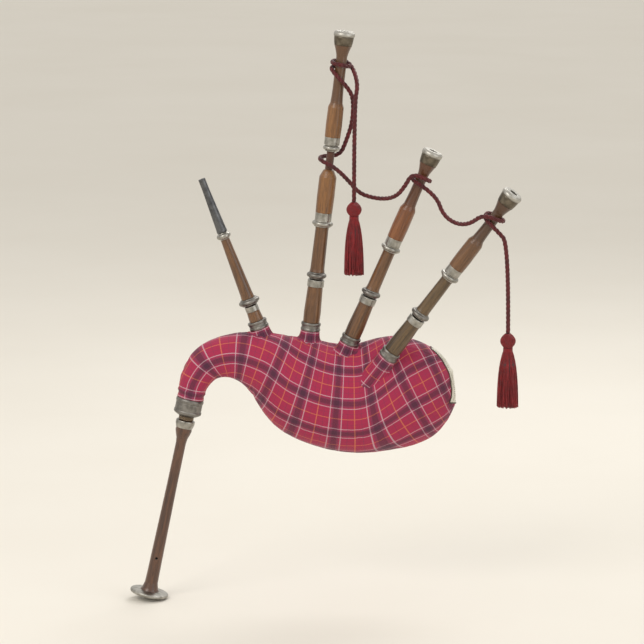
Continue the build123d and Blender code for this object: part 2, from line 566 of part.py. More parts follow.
def hide_bag():
    """The airtight bag: a hide shell with a neck tied round each stock."""
    shell = bag_form(HIDE_INSET)
    for plane in PIPES_ON_TOP:
        shell += plane.location * upright(HIDE_NECK_RADIUS, -NECK_DEPTH, TIE_TOP)
    shell -= bag_form(HIDE_INSET + HIDE_THICKNESS)
    neck_end = BAG_SECTIONS[0][4] - HIDE_INSET - 1
    shell += CHANTER.location * upright(CHANTER_NECK_RADIUS, -HIDE_THICKNESS, 20)
    shell += CHANTER.location * upright(neck_end, -HIDE_THICKNESS, 0)
    for plane in PIPES_ON_TOP:
        clear_of_collar = upright(COLLAR_CUT_RADIUS, -COLLAR_CUT, 30) - upright(
            HIDE_NECK_RADIUS, -1, TIE_TOP)
        shell -= plane.location * clear_of_collar
        shell -= plane.location * upright(STOCK_FOOT_RADIUS, -CUT_LENGTH, 30)
    shell -= CHANTER.location * upright(CHANTER_STOCK_RADIUS, -20, 30)
    return shell


def tartan_cover():
    """The cloth cover: a thin skin over the bag, with a short sleeve under each collar."""
    skin = bag_form(0)
    for plane in PIPES_ON_TOP:
        skin += plane.location * upright(SLEEVE_RADIUS, -NECK_DEPTH, -COLLAR_CUT)
    skin -= bag_form(COVER_THICKNESS)
    for plane in PIPES_ON_TOP:
        skin -= plane.location * upright(COLLAR_CUT_RADIUS, -COLLAR_CUT, 30)
        skin -= plane.location * upright(SLEEVE_RADIUS - COVER_THICKNESS, -CUT_LENGTH, 30)
    return skin


def rear_trim():
    """The binding of the cover's rear seam: a band over its edge that narrows towards the top."""
    layer = bag_form(-TRIM_GAP - TRIM_THICKNESS) - bag_form(-TRIM_GAP)
    low, high = TRIM_LOW_WIDTH / 2, TRIM_HIGH_WIDTH / 2
    outline = Polygon((-low, TRIM_LOW), (low, TRIM_LOW), (high, TRIM_HIGH), (-high, TRIM_HIGH), align=None)
    return layer & extrude(Plane.YZ.offset(TRIM_START) * outline, 80)


# ---------------------------------------------------------------- drone cord and tassels
def cord(route):
    """A round cord along a route of straight runs, with the widest arcs that the runs allow."""
    points = [Vector(*point) for point in route]
    radii = []
    for before, here, after in zip(points, points[1:], points[2:]):
        turn = math.radians((here - before).get_angle(after - here))
        run = min((here - before).length, (after - here).length)
        radii.append(0.45 * run / math.tan(turn / 2))
    line = FilletPolyline(*points, radius=radii)
    start = Plane(origin=line @ 0, z_dir=line % 0)
    return sweep(start * Circle(CORD_DIAMETER / 2), path=line)


def tassel(hang, head_radius, skirt_radius, length):
    """A tassel that hangs from a cord's end: a wound head over a skirt of threads."""
    head = 2 * head_radius
    waist = head_radius * 0.62
    return Pos(*hang) * turned([
        (skirt_radius - 2, -length), (skirt_radius, -length + 4), (skirt_radius * 0.72, -head - 26),
        (skirt_radius * 0.62, -head - 10), (waist, -head - 2), (waist, -head + 2),
        (head_radius * 0.92, -head + 8), (head_radius, -head_radius), (head_radius * 0.86, -8),
        (CORD_DIAMETER / 2 + 1, 0),
    ])


def soft_goods():
    nodes["bag"] = [hide_bag()]
    nodes["bag_cover"] = [tartan_cover()]
    nodes["cover_trim"] = [rear_trim()]
    nodes["cord_bass_neck"] = [cord(BASS_NECK_ROUTE)]
    nodes["cord_bass_waist"] = [cord(BASS_WAIST_ROUTE)]
    nodes["cord_tenors"] = [cord(TENOR_ROUTE)]
    nodes["tassel_1"] = [tassel(BASS_NECK_ROUTE[0], 15.0, 20.0, 146.0)]
    nodes["tassel_2"] = [tassel(TENOR_ROUTE[-1], 14.0, 21.5, 147.0)]


stocks_on_top()
chanter_stock()
drones()
blowpipe()
chanter()
soft_goods()
os.makedirs("parts", exist_ok=True)
for node, solids in nodes.items():
    shape = solids[0] if len(solids) == 1 else Compound(children=solids)
    export_step(shape, f"parts/{node}.step")
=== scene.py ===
"""A three-drone Highland-type bagpipe: the visual model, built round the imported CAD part."""
import json
import math
import random

import bmesh
import bpy
import numpy as np
from mathutils import Matrix, Vector, noise
from mathutils.bvhtree import BVHTree
from mathutils.kdtree import KDTree


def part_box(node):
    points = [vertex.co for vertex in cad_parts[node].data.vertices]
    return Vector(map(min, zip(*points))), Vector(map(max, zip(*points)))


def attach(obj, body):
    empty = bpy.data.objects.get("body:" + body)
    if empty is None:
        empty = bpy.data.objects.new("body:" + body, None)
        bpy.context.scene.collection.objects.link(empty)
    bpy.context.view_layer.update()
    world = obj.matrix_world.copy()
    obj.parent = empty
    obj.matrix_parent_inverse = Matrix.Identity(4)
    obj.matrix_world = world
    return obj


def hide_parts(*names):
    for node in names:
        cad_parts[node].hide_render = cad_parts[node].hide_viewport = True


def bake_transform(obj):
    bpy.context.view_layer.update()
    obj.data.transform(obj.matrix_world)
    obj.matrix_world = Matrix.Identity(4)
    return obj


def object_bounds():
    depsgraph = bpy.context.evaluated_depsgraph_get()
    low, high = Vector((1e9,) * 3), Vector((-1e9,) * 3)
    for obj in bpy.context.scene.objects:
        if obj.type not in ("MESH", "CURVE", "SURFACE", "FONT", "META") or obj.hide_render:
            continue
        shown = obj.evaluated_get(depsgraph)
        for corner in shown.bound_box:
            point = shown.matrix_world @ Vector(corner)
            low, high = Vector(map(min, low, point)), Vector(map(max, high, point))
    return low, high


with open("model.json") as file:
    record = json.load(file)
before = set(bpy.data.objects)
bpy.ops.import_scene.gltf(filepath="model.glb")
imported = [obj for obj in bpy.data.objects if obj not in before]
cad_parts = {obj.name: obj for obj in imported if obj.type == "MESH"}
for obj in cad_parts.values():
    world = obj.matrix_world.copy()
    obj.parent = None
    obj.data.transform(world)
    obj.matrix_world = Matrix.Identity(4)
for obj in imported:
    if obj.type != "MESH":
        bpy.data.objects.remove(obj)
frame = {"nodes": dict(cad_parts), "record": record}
CAD_LOW, CAD_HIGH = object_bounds()
CAD_NODES = frame["nodes"]
MOUNTS = {mount["name"]: mount for mount in frame["record"]["mounts"]}
MM = 0.001

# ---------------------------------------------------------------- camera, light and floor
VIEW_ELEVATION = math.radians(10)
VIEW_DISTANCE = 7.0
PICTURE_HEIGHT = 1.27           # metres across the picture at the object
SENSOR = 36.0


def new_object(name, data):
    """An object in the scene that shows the data."""
    thing = bpy.data.objects.new(name, data)
    bpy.context.collection.objects.link(thing)
    return thing


def look_at(thing, place, target):
    thing.location = place
    thing.rotation_mode = "QUATERNION"
    thing.rotation_quaternion = (Vector(target) - Vector(place)).to_track_quat("-Z", "Y")


def make_camera():
    middle = (CAD_LOW + CAD_HIGH) / 2
    camera = new_object("camera", bpy.data.cameras.new("camera"))
    camera.data.sensor_width = SENSOR
    camera.data.lens = SENSOR * VIEW_DISTANCE / PICTURE_HEIGHT
    camera.data.clip_end = 60
    back = Vector((0, -math.cos(VIEW_ELEVATION), math.sin(VIEW_ELEVATION)))
    look_at(camera, middle + back * VIEW_DISTANCE, middle)
    bpy.context.scene.camera = camera


def area_light(name, place, size, power, colour=(1, 1, 1)):
    light = new_object(name, bpy.data.lights.new(name, "AREA"))
    light.data.size = size
    light.data.energy = power
    light.data.color = colour
    look_at(light, place, (CAD_LOW + CAD_HIGH) / 2)


def make_studio():
    """Soft light from all round, and a wide, plain, pale floor."""
    world = bpy.data.worlds.new("studio")
    world.use_nodes = True
    world.node_tree.nodes["Background"].inputs["Color"].default_value = (0.90, 0.88, 0.84, 1)
    world.node_tree.nodes["Background"].inputs["Strength"].default_value = 0.92
    bpy.context.scene.world = world
    bpy.context.scene.view_settings.view_transform = "Standard"
    area_light("key_light", (-2.2, -2.8, 2.6), size=2.2, power=62, colour=(1.0, 0.97, 0.93))
    area_light("fill_light", (2.8, -2.4, 1.1), size=2.6, power=26, colour=(0.94, 0.97, 1.0))
    area_light("back_light", (0.8, 2.2, 2.6), size=1.8, power=38)
    mesh = bpy.data.meshes.new("floor")
    reach, low = 60.0, CAD_LOW.z - 0.002
    corners = [(-reach, -reach, low), (reach, -reach, low), (reach, reach, low), (-reach, reach, low)]
    mesh.from_pydata(corners, [], [(0, 1, 2, 3)])
    floor = new_object("floor", mesh)
    floor.data.materials.append(studio_paper())


# ---------------------------------------------------------------- shader building
class Shader:
    """A material under construction: nodes are added by kind, and inputs set or linked by name."""

    def __init__(self, name, **surface):
        self.material = bpy.data.materials.new(name)
        self.material.use_nodes = True
        self.tree = self.material.node_tree
        self.surface = self.tree.nodes["Principled BSDF"]
        for socket, value in surface.items():
            self.surface.inputs[socket.replace("_", " ")].default_value = value

    def add(self, kind, inputs=(), **settings):
        """A new node; each input is a value or another node's output."""
        node = self.tree.nodes.new("ShaderNode" + kind)
        for setting, value in settings.items():
            setattr(node, setting, value)
        for socket, value in dict(inputs).items():
            self.feed(node, socket, value)
        return node

    def feed(self, node, socket, value):
        if isinstance(value, bpy.types.NodeSocket):
            self.tree.links.new(value, node.inputs[socket])
        else:
            node.inputs[socket].default_value = value

    def math(self, operation, a, b=0.0):
        return self.add("Math", {0: a, 1: b}, operation=operation).outputs[0]

    def plus(self, a, b, share_a=None, share_b=None):
        """The sum of a and b, each scaled by its share where it has one."""
        if share_a is not None:
            a = self.math("MULTIPLY", a, share_a)
        if share_b is not None:
            b = self.math("MULTIPLY", b, share_b)
        return self.math("ADD", a, b)

    def mix(self, factor, a, b):
        """Colours a and b mixed by factor."""
        node = self.add("Mix", data_type="RGBA")
        for socket, value in ((0, factor), (6, a), (7, b)):
            self.feed(node, socket, value)
        return node.outputs[2]

    def ramp(self, factor, stops, interpolation="LINEAR"):
        """A colour read from (place, colour) stops."""
        node = self.add("ValToRGB", {"Fac": factor})
        node.color_ramp.interpolation = interpolation
        elements = node.color_ramp.elements
        while len(elements) < len(stops):
            elements.new(0.5)
        for element, (place, colour) in zip(elements, stops):
            element.position = place
            element.color = (*colour, 1)
        return node.outputs["Color"]

    def noise(self, vector, scale, detail=4.0, roughness=0.55, distortion=0.0):
        node = self.add("TexNoise", {"Vector": vector, "Scale": scale, "Detail": detail,
                                     "Roughness": roughness, "Distortion": distortion})
        return node.outputs["Fac"]

    def stretched(self, vector, scale):
        """The vector with each axis scaled on its own."""
        return self.add("Mapping", {"Vector": vector, "Scale": scale}).outputs["Vector"]

    def place(self):
        """Where the surface point is at rest, in metres."""
        return self.add("TexCoord").outputs["Object"]

    def along(self, pipe):
        """Where the surface point is in a pipe's own frame, whose Z runs along its axis."""
        turn = pipe.to_euler()
        return self.add("Mapping", {"Vector": self.place(), "Location": pipe.to_translation(),
                                    "Rotation": turn[:]}, vector_type="TEXTURE").outputs["Vector"]

    def finish(self, colour=None, roughness=None, height=None, bump=0.2, depth=0.0004):
        """Link what is given to the surface: colour, roughness and bump height."""
        if colour is not None:
            self.feed(self.surface, "Base Color", colour)
        if roughness is not None:
            self.feed(self.surface, "Roughness", roughness)
        if height is not None:
            node = self.add("Bump", {"Height": height, "Strength": bump, "Distance": depth})
            self.feed(self.surface, "Normal", node.outputs["Normal"])
        return self.material

    def between(self, factor, low, high, given=(0, 1)):
        """The factor, which runs over the given range, brought to the range low to high."""
        node = self.add("MapRange", {"Value": factor, "From Min": given[0], "From Max": given[1],
                                     "To Min": low, "To Max": high})
        return node.outputs["Result"]


def studio_paper():
    shader = Shader("studio_paper", Roughness=0.9)
    tone = shader.noise(shader.place(), 1.5, 3)
    return shader.finish(shader.ramp(tone, [(0.3, (0.76, 0.72, 0.645)), (0.7, (0.78, 0.742, 0.67))]))


# ---------------------------------------------------------------- the pipes' own frames
def pipe_frame(mount):
    """The frame of a pipe: its Z runs along the mount's axis, out of the pipe's end."""
    axis = Vector(MOUNTS[mount]["axis"]).normalized()
    across = Vector((0, 1, 0)).cross(axis).normalized()
    turn = Matrix((across, axis.cross(across), axis)).transposed()
    return Matrix.Translation(MOUNTS[mount]["pos_m"]) @ turn.to_4x4()


BASS = pipe_frame("bass_bell_bore")
TENOR_1 = pipe_frame("tenor_1_bell_bore")
TENOR_2 = pipe_frame("tenor_2_bell_bore")
BLOWPIPE = pipe_frame("mouthpiece_tip")
CHANTER = pipe_frame("chanter_foot_bore")


# ---------------------------------------------------------------- hard materials
def wood(name, pipe, dark, mid, light, polish=0.35, stained=None):
    """Polished hardwood whose grain runs along a pipe.

    stained is the pair of heights between which the wood darkens towards the pipe's end."""
    shader = Shader(name, Coat_Weight=polish, Coat_Roughness=0.18)
    along = shader.along(pipe)
    figure = shader.noise(shader.stretched(along, (70, 70, 5)), 1.0, 5, 0.6, 0.6)
    streaks = shader.noise(shader.stretched(along, (520, 520, 16)), 1.0, 4, 0.65)
    pores = shader.noise(shader.stretched(along, (1500, 1500, 60)), 1.0, 2, 0.5)
    tone = shader.plus(figure, streaks, 0.62, 0.38)
    colour = shader.ramp(tone, [(0.34, dark), (0.5, mid), (0.66, light)])
    flecks = shader.ramp(pores, [(0.36, (1, 1, 1)), (0.43, (0, 0, 0))])
    colour = shader.mix(shader.math("MULTIPLY", flecks, 0.55), colour, tuple(0.35 * c for c in dark) + (1,))
    if stained:
        up = shader.add("SeparateXYZ", {0: along}).outputs[2]
        share = shader.between(up, 0, 0.72, stained)
        stain = shader.mix(0.5, (*dark, 1), (0.045, 0.020, 0.012, 1))
        colour = shader.mix(share, colour, stain)
    wear = shader.noise(along, 55, 3)
    height = shader.plus(pores, streaks, 0.7, 0.3)
    return shader.finish(colour, shader.between(wear, 0.26, 0.5), height, 0.25, 0.0003)


def metal(name, pipe, bright, dull, rough, line_depth=0.12, rubbed=None):
    """Turned metal: fine tool lines run round the pipe, under soft tarnish and a few scuffs.

    rubbed is the pair of heights between which handling has rubbed the tarnish off."""
    shader = Shader(name, Metallic=1.0)
    along = shader.along(pipe)
    parts = shader.add("SeparateXYZ", {0: along})
    squares = [shader.math("POWER", part, 2.0) for part in parts.outputs[:2]]
    radius = shader.math("SQRT", shader.plus(*squares))
    lathe = shader.add("CombineXYZ", {0: radius, 1: parts.outputs[2]}).outputs[0]
    lines = shader.noise(lathe, 3800, 3, 0.6)
    tarnish = shader.noise(along, 90, 5, 0.6)
    scuffs = shader.noise(shader.stretched(along, (240, 240, 700)), 1.0, 3, 0.7)
    colour = shader.ramp(tarnish, [(0.3, dull), (0.62, bright)])
    if rubbed:
        share = shader.between(parts.outputs[2], 0, 1, rubbed)
        colour = shader.mix(share, colour, (*NICKEL[0], 1))
    roughness = shader.plus(shader.between(lines, rough - 0.08, rough + 0.08), scuffs, share_b=0.14)
    height = shader.plus(lines, tarnish, share_b=0.8)
    return shader.finish(colour, roughness, height, line_depth, 0.0003)


def wound_thread(name, pipe, dark, light, pitch):
    """Thread wound round and round: fine turns along the pipe, with a fuzzy surface."""
    shader = Shader(name, Sheen_Weight=0.3)
    along = shader.along(pipe)
    turns = shader.add("TexWave", {"Vector": along, "Scale": 0.314 / pitch, "Distortion": 0.6,
                                   "Detail": 2, "Detail Scale": 60},
                       wave_type="BANDS", bands_direction="Z").outputs["Fac"]
    fuzz = shader.noise(shader.stretched(along, (2600, 2600, 700)), 1.0, 3)
    tone = shader.plus(turns, fuzz, 0.6, 0.4)
    return shader.finish(shader.ramp(tone, [(0.2, dark), (0.75, light)]),
                         shader.between(fuzz, 0.6, 0.9), tone, 0.6, 0.0006)


def cane(name):
    """Reed cane: pale straw with fine lengthways fibres and a few darker flecks."""
    shader = Shader(name, Coat_Weight=0.15)
    fibres = shader.noise(shader.stretched(shader.place(), (900, 900, 90)), 1.0, 4)
    blotches = shader.noise(shader.place(), 120, 4)
    tone = shader.plus(fibres, blotches, 0.5, 0.5)
    colour = shader.ramp(tone, [(0.3, (0.36, 0.22, 0.08)), (0.55, (0.62, 0.44, 0.19)),
                                (0.7, (0.7, 0.53, 0.26))])
    return shader.finish(colour, shader.between(fibres, 0.4, 0.6), fibres, 0.3)


def leather(name, dark, light):
    """Hide: pebbled grain over soft mottling."""
    shader = Shader(name)
    cells = shader.add("TexVoronoi", {"Vector": shader.place(), "Scale": 420},
                       feature="DISTANCE_TO_EDGE").outputs["Distance"]
    mottle = shader.noise(shader.place(), 35, 5)
    return shader.finish(shader.ramp(mottle, [(0.3, dark), (0.7, light)]),
                         shader.between(mottle, 0.55, 0.75), cells, 0.4, 0.0008)


def rubber(name):
    shader = Shader(name)
    grit = shader.noise(shader.place(), 1400, 3)
    bloom = shader.noise(shader.place(), 200, 3)
    return shader.finish(shader.ramp(bloom, [(0.3, (0.012, 0.012, 0.013)), (0.7, (0.04, 0.038, 0.036))]),
                         shader.between(grit, 0.55, 0.8), grit, 0.2)


# Wood: its dark, middle and light tones. Metal: its bright and dull tones, and its roughness.
BROWN = ((0.045, 0.018, 0.006), (0.128, 0.055, 0.018), (0.215, 0.098, 0.034))
GOLDEN = ((0.085, 0.034, 0.010), (0.195, 0.082, 0.022), (0.300, 0.138, 0.040))
AMBER = ((0.075, 0.022, 0.006), (0.185, 0.060, 0.014), (0.290, 0.108, 0.028))
CHESTNUT = ((0.055, 0.023, 0.008), (0.140, 0.060, 0.019), (0.215, 0.100, 0.034))
OLIVE = ((0.035, 0.020, 0.008), (0.098, 0.056, 0.020), (0.160, 0.096, 0.038))
DARK = ((0.025, 0.010, 0.005), (0.088, 0.034, 0.015), (0.155, 0.064, 0.028))
PEWTER = ((0.265, 0.250, 0.228), (0.125, 0.116, 0.104), 0.36)
NICKEL = ((0.430, 0.412, 0.372), (0.215, 0.204, 0.178), 0.28)
BRONZE = ((0.190, 0.160, 0.120), (0.085, 0.070, 0.052), 0.34)
BRASS = ((0.75, 0.50, 0.20), (0.45, 0.28, 0.10), 0.3)
DARK_METAL = ((0.150, 0.152, 0.155), (0.070, 0.070, 0.074), 0.36)


# ---------------------------------------------------------------- turned pieces
LATHE_STEPS = 88
CUT_ANGLE = 0.65                # a plane through a pipe's axis that misses every cross hole
PIPE_REACH = 45 * MM            # no other pipe's piece comes this close to a pipe's axis


def outlines(node, pipe):
    """The closed (radius, height) outlines of the turned solids that a CAD node has on a pipe."""
    cut = bmesh.new()
    cut.from_mesh(CAD_NODES[node].data)
    bmesh.ops.transform(cut, matrix=pipe.inverted(), verts=cut.verts)
    bmesh.ops.remove_doubles(cut, verts=cut.verts, dist=1e-6)
    far = [v for v in cut.verts if v.co.xy.length > PIPE_REACH]
    bmesh.ops.delete(cut, geom=far, context="VERTS")
    true_points = sorted({(round(v.co.xy.length, 6), round(v.co.z, 6)) for v in cut.verts})
    tree = KDTree(len(true_points))
    for index, (radius, height) in enumerate(true_points):
        tree.insert((radius, height, 0), index)
    tree.balance()
    side = Vector((math.cos(CUT_ANGLE), math.sin(CUT_ANGLE), 0))
    found = bmesh.ops.bisect_plane(cut, geom=cut.verts[:] + cut.edges[:] + cut.faces[:],
                                   plane_co=(0, 0, 0), plane_no=(-side.y, side.x, 0))
    next_to = {}
    for edge in found["geom_cut"]:
        if isinstance(edge, bmesh.types.BMEdge) and all(v.co.dot(side) > 0 for v in edge.verts):
            first, second = edge.verts
            next_to.setdefault(first, set()).add(second)
            next_to.setdefault(second, set()).add(first)
    loops = []
    unused = set(next_to)
    while unused:
        here = min(unused, key=lambda v: (v.co.z, v.co.xy.length))
        loop = []
        while here is not None:
            unused.discard(here)
            place = (here.co.xy.length, here.co.z, 0)
            near, _, gap = tree.find(place)
            loop.append(near.xy if gap < 0.2 * MM else Vector(place[:2]))
            here = next((v for v in next_to[here] if v in unused), None)
        loops.append(straightened(loop))
    cut.free()
    return loops


def straightened(loop):
    """The outline without the points that lie on a straight run."""
    kept = [p for p, q in zip(loop, loop[1:] + loop[:1]) if (p - q).length > 0.02 * MM]
    changed = True
    while changed:
        changed = False
        for index in range(len(kept)):
            before, here, after = kept[index - 1], kept[index], kept[(index + 1) % len(kept)]
            run = (after - before).normalized()
            gap = here - before
            if abs(gap.x * run.y - gap.y * run.x) < 0.012 * MM and gap.dot(run) > 0:
                kept.pop(index)
                changed = True
                break
    return kept


EDGE_ROUND = 0.55 * MM
GENTLE_TURN = math.radians(50)


def rounded(outline):
    """The outline with its sharp edges broken and its gentle corners drawn into curves."""
    points = []
    for index, here in enumerate(outline):
        before, after = outline[index - 1], outline[(index + 1) % len(outline)]
        run_in, run_out = here - before, after - here
        shorter = min(run_in.length, run_out.length)
        turn = abs(run_in.angle_signed(run_out))
        reach = min(0.46 * shorter, 7 * MM if turn < GENTLE_TURN else EDGE_ROUND)
        start = here - run_in.normalized() * reach
        end = here + run_out.normalized() * reach
        if run_in.length > 4 * reach:
            points.append(start - run_in.normalized() * min(reach, EDGE_ROUND))
        for step in range(5):
            t = step / 4
            points.append(start * (1 - t) ** 2 + here * 2 * t * (1 - t) + end * t ** 2)
        if run_out.length > 4 * reach:
            points.append(end + run_out.normalized() * min(reach, EDGE_ROUND))
    return points


def mesh_piece(name, points, faces, material):
    """A smooth-shaded mesh piece in the row frame."""
    mesh = bpy.data.meshes.new(name)
    mesh.from_pydata([tuple(p) for p in points], [], faces)
    mesh.validate()
    mesh.polygons.foreach_set("use_smooth", [True] * len(mesh.polygons))
    mesh.materials.append(material)
    return new_object(name, mesh)


def place_on_body(piece, body, node=None):
    """Let a piece ride on a body, in place of a CAD node where it has one."""
    if node:
        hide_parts(node)
    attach(piece, body)
    return piece


def quads(rows, columns, offset=0, ring=False, loop=False, flipped=False):
    """The faces between rows of points; ring joins the last row to the first, loop each row's ends.

    flipped turns the faces to look the other way."""
    faces = []
    for row in range(rows if ring else rows - 1):
        for column in range(columns if loop else columns - 1):
            here, beyond = offset + row * columns, offset + (row + 1) % rows * columns
            after = (column + 1) % columns
            face = (here + column, beyond + column, beyond + after, here + after)
            faces.append((face[0], face[3], face[2], face[1]) if flipped else face)
    return faces


def round_axis(radius, angle, height):
    """A point given by its radius, angle and height."""
    return Vector((radius * math.cos(angle), radius * math.sin(angle), height))


def surface_of(mesh):
    """A tree that finds where a line meets a mesh."""
    source = bmesh.new()
    source.from_mesh(mesh)
    tree = BVHTree.FromBMesh(source)
    source.free()
    return tree


def turned_geometry(outline, pipe, offset=0):
    """Points and faces of an outline turned about a pipe's axis."""
    angles = [2 * math.pi * step / LATHE_STEPS for step in range(LATHE_STEPS)]
    points = [pipe @ round_axis(point.x, angle, point.y) for angle in angles for point in outline]
    return points, quads(LATHE_STEPS, len(outline), offset, ring=True, loop=True)


def signed_area(outline):
    return sum(a.x * b.y - b.x * a.y for a, b in zip(outline, outline[1:] + outline[:1])) / 2


def turn_again(node, pipes, body, material):
    """A finely turned piece in place of a CAD node, with broken edges and smooth curves.

    pipes is one pipe's frame or several, for a node that has a solid on each."""
    pipes = pipes if isinstance(pipes, (list, tuple)) else [pipes]
    points, faces = [], []
    for pipe in pipes:
        for outline in outlines(node, pipe):
            outline = rounded(outline)
            if signed_area(outline) < 0:
                outline.reverse()
            new_points, new_faces = turned_geometry(outline, pipe, len(points))
            points += new_points
            faces += new_faces
    return place_on_body(mesh_piece("turned_" + node, points, faces, material), body, node)


# ---------------------------------------------------------------- soft materials
SETT_ALONG = 70 * MM            # one repeat of the tartan along the bag
SETT_ROUND = 64 * MM            # and one round it
CRIMSON = (0.370, 0.010, 0.064)
PLUM = (0.140, 0.022, 0.070)
NAVY = (0.035, 0.009, 0.034)
PALE = (0.560, 0.380, 0.430)
ORANGE = (0.640, 0.170, 0.070)
# Thread colours from the middle of the ground to the middle of the dark stripe: where each starts
# in one repeat, its colour, and how far it covers the threads that it crosses.
SETT = ((0.0, ORANGE, 0.5), (0.014, CRIMSON, 0.0), (0.170, PLUM, 0.2), (0.182, CRIMSON, 0.0),
        (0.325, PALE, 0.6), (0.352, CRIMSON, 0.0), (0.385, PLUM, 0.3), (0.430, NAVY, 0.5))


def tartan_stripes(shader, across, repeat):
    """The thread colours across one direction of the tartan, and how far they cover what they cross."""
    part = shader.math("FRACT", shader.math("DIVIDE", across, repeat))
    starts = [start for start, _, _ in SETT]
    tints = [tint for _, tint, _ in SETT]
    covers = [(cover,) * 3 for _, _, cover in SETT]
    found = []
    for values in (tints, covers):
        stops = list(zip(starts, values))
        stops += [(1 - start, value) for start, value in zip(reversed(starts[1:]), reversed(values[:-1]))]
        found.append(shader.ramp(part, stops, "CONSTANT"))
    return found


def tartan():
    """Woven wool: warp and weft stripes meet in a diagonal twill, and cross in their full colours."""
    shader = Shader("tartan_wool", Sheen_Weight=0.12, Sheen_Roughness=0.4)
    parts = shader.add("SeparateXYZ", {0: shader.add("UVMap", uv_map="cloth").outputs[0]})
    along, across = parts.outputs[0], parts.outputs[1]
    warp, warp_cover = tartan_stripes(shader, along, SETT_ALONG)
    weft, weft_cover = tartan_stripes(shader, across, SETT_ROUND)
    thread = 1.1 * MM
    diagonal = shader.math("FRACT", shader.math("DIVIDE", shader.plus(along, across), thread))
    twill = shader.ramp(diagonal, [(0.0, (0, 0, 0)), (0.42, (0, 0, 0)), (0.5, (1, 1, 1)),
                                   (0.92, (1, 1, 1)), (1.0, (0, 0, 0))])
    lead = shader.math("MULTIPLY", shader.math("SUBTRACT", weft_cover, warp_cover), 0.5)
    share = shader.plus(shader.between(twill, 0.25, 0.75), lead)
    colour = shader.mix(share, warp, weft)
    fade = shader.noise(shader.place(), 14, 4)
    colour = shader.mix(shader.between(fade, 0.0, 0.30), colour, (0.20, 0.008, 0.028, 1))
    fuzz = shader.noise(shader.place(), 1500, 3)
    colour = shader.mix(shader.between(fuzz, 0.0, 0.10), colour, (0.45, 0.14, 0.17, 1))
    ribs = shader.math("ABSOLUTE", shader.math("SUBTRACT", diagonal, 0.5))
    height = shader.plus(ribs, fuzz, 1.2, 0.6)
    return shader.finish(colour, shader.between(fuzz, 0.75, 0.95), height, 0.45, 0.0005)


def plain_weave(name, dark, light, thread):
    """A plain-woven cloth whose threads run with its cloth coordinates."""
    shader = Shader(name, Sheen_Weight=0.3, Sheen_Roughness=0.5)
    parts = shader.add("SeparateXYZ", {0: shader.add("UVMap", uv_map="cloth").outputs[0]})
    waves = [shader.math("SINE", shader.math("MULTIPLY", part, math.pi / thread))
             for part in parts.outputs[:2]]
    weave = shader.math("MULTIPLY", waves[0], waves[1])
    soil = shader.noise(shader.place(), 60, 4)
    fuzz = shader.noise(shader.place(), 1800, 2)
    tone = shader.plus(weave, soil, share_a=0.22)
    return shader.finish(shader.ramp(tone, [(0.25, dark), (0.7, light)]),
                         shader.between(fuzz, 0.75, 0.95), shader.plus(weave, fuzz), 0.5, 0.0005)


FIBRE_SLANT = 175               # half turns round the strand that a fibre makes in a metre


def spun_thread(name, dark, light):
    """Twisted silk: fine fibres run slantwise round each strand, by its strand coordinates."""
    shader = Shader(name, Sheen_Weight=0.12, Sheen_Roughness=0.35)
    parts = shader.add("SeparateXYZ", {0: shader.add("UVMap", uv_map="strand").outputs[0]})
    around, along = parts.outputs[0], parts.outputs[1]
    slant = shader.plus(around, along, share_b=FIBRE_SLANT)
    fibres = shader.math("SINE", shader.math("MULTIPLY", slant, 2 * math.pi * 7))
    fluff = shader.noise(shader.place(), 1300, 3)
    shade = shader.noise(shader.place(), 70, 3)
    tone = shader.plus(fibres, shader.plus(fluff, shade, 0.4, 0.6), share_a=0.10)
    height = shader.plus(fibres, fluff)
    return shader.finish(shader.ramp(tone, [(0.32, dark), (0.68, light)]),
                         shader.between(fluff, 0.42, 0.7), height, 0.5, 0.0004)


# ---------------------------------------------------------------- the bag's form
# Sections down the bag from its neck to its rear: centre x, centre z, heading in degrees
# from straight up towards +X, half height across the heading, and half thickness along Y.
BAG_SECTIONS = (
    (-0.3216, -0.0033, 12.1, 0.027, 0.027),
    (-0.3110, 0.0360, 17.0, 0.030, 0.029),
    (-0.2850, 0.0700, 50.0, 0.036, 0.034),
    (-0.2380, 0.0840, 90.0, 0.043, 0.042),
    (-0.1820, 0.0710, 112.0, 0.060, 0.054),
    (-0.1200, 0.0300, 110.0, 0.092, 0.067),
    (-0.0520, 0.0040, 98.0, 0.104, 0.075),
    (0.0100, -0.0020, 90.0, 0.108, 0.078),
    (0.0720, 0.0080, 86.0, 0.113, 0.077),
    (0.1260, 0.0140, 84.0, 0.104, 0.069),
    (0.1660, 0.0170, 84.0, 0.082, 0.054),
    (0.1880, 0.0170, 84.0, 0.058, 0.038),
    (0.2000, 0.0170, 84.0, 0.032, 0.021),
    (0.2030, 0.0170, 84.0, 0.014, 0.009),
)
RINGS = 132
RING_POINTS = 116


def smooth_rows(rows, count):
    """Evenly spread rows on a smooth curve through the given ones."""
    rows = np.array(rows)
    steps = np.diff(rows[:, [0, 1, 3]], axis=0)
    at = np.concatenate(([0], np.cumsum(np.linalg.norm(steps, axis=1))))
    slopes = np.gradient(rows, at, axis=0)
    found = []
    for place in np.linspace(0, at[-1], count):
        i = min(np.searchsorted(at, place, side="right") - 1, len(at) - 2)
        width = at[i + 1] - at[i]
        t = (place - at[i]) / width
        found.append((2 * t ** 3 - 3 * t ** 2 + 1) * rows[i] + (t ** 3 - 2 * t ** 2 + t) * width * slopes[i]
                     + (3 * t ** 2 - 2 * t ** 3) * rows[i + 1] + (t ** 3 - t ** 2) * width * slopes[i + 1])
    return found


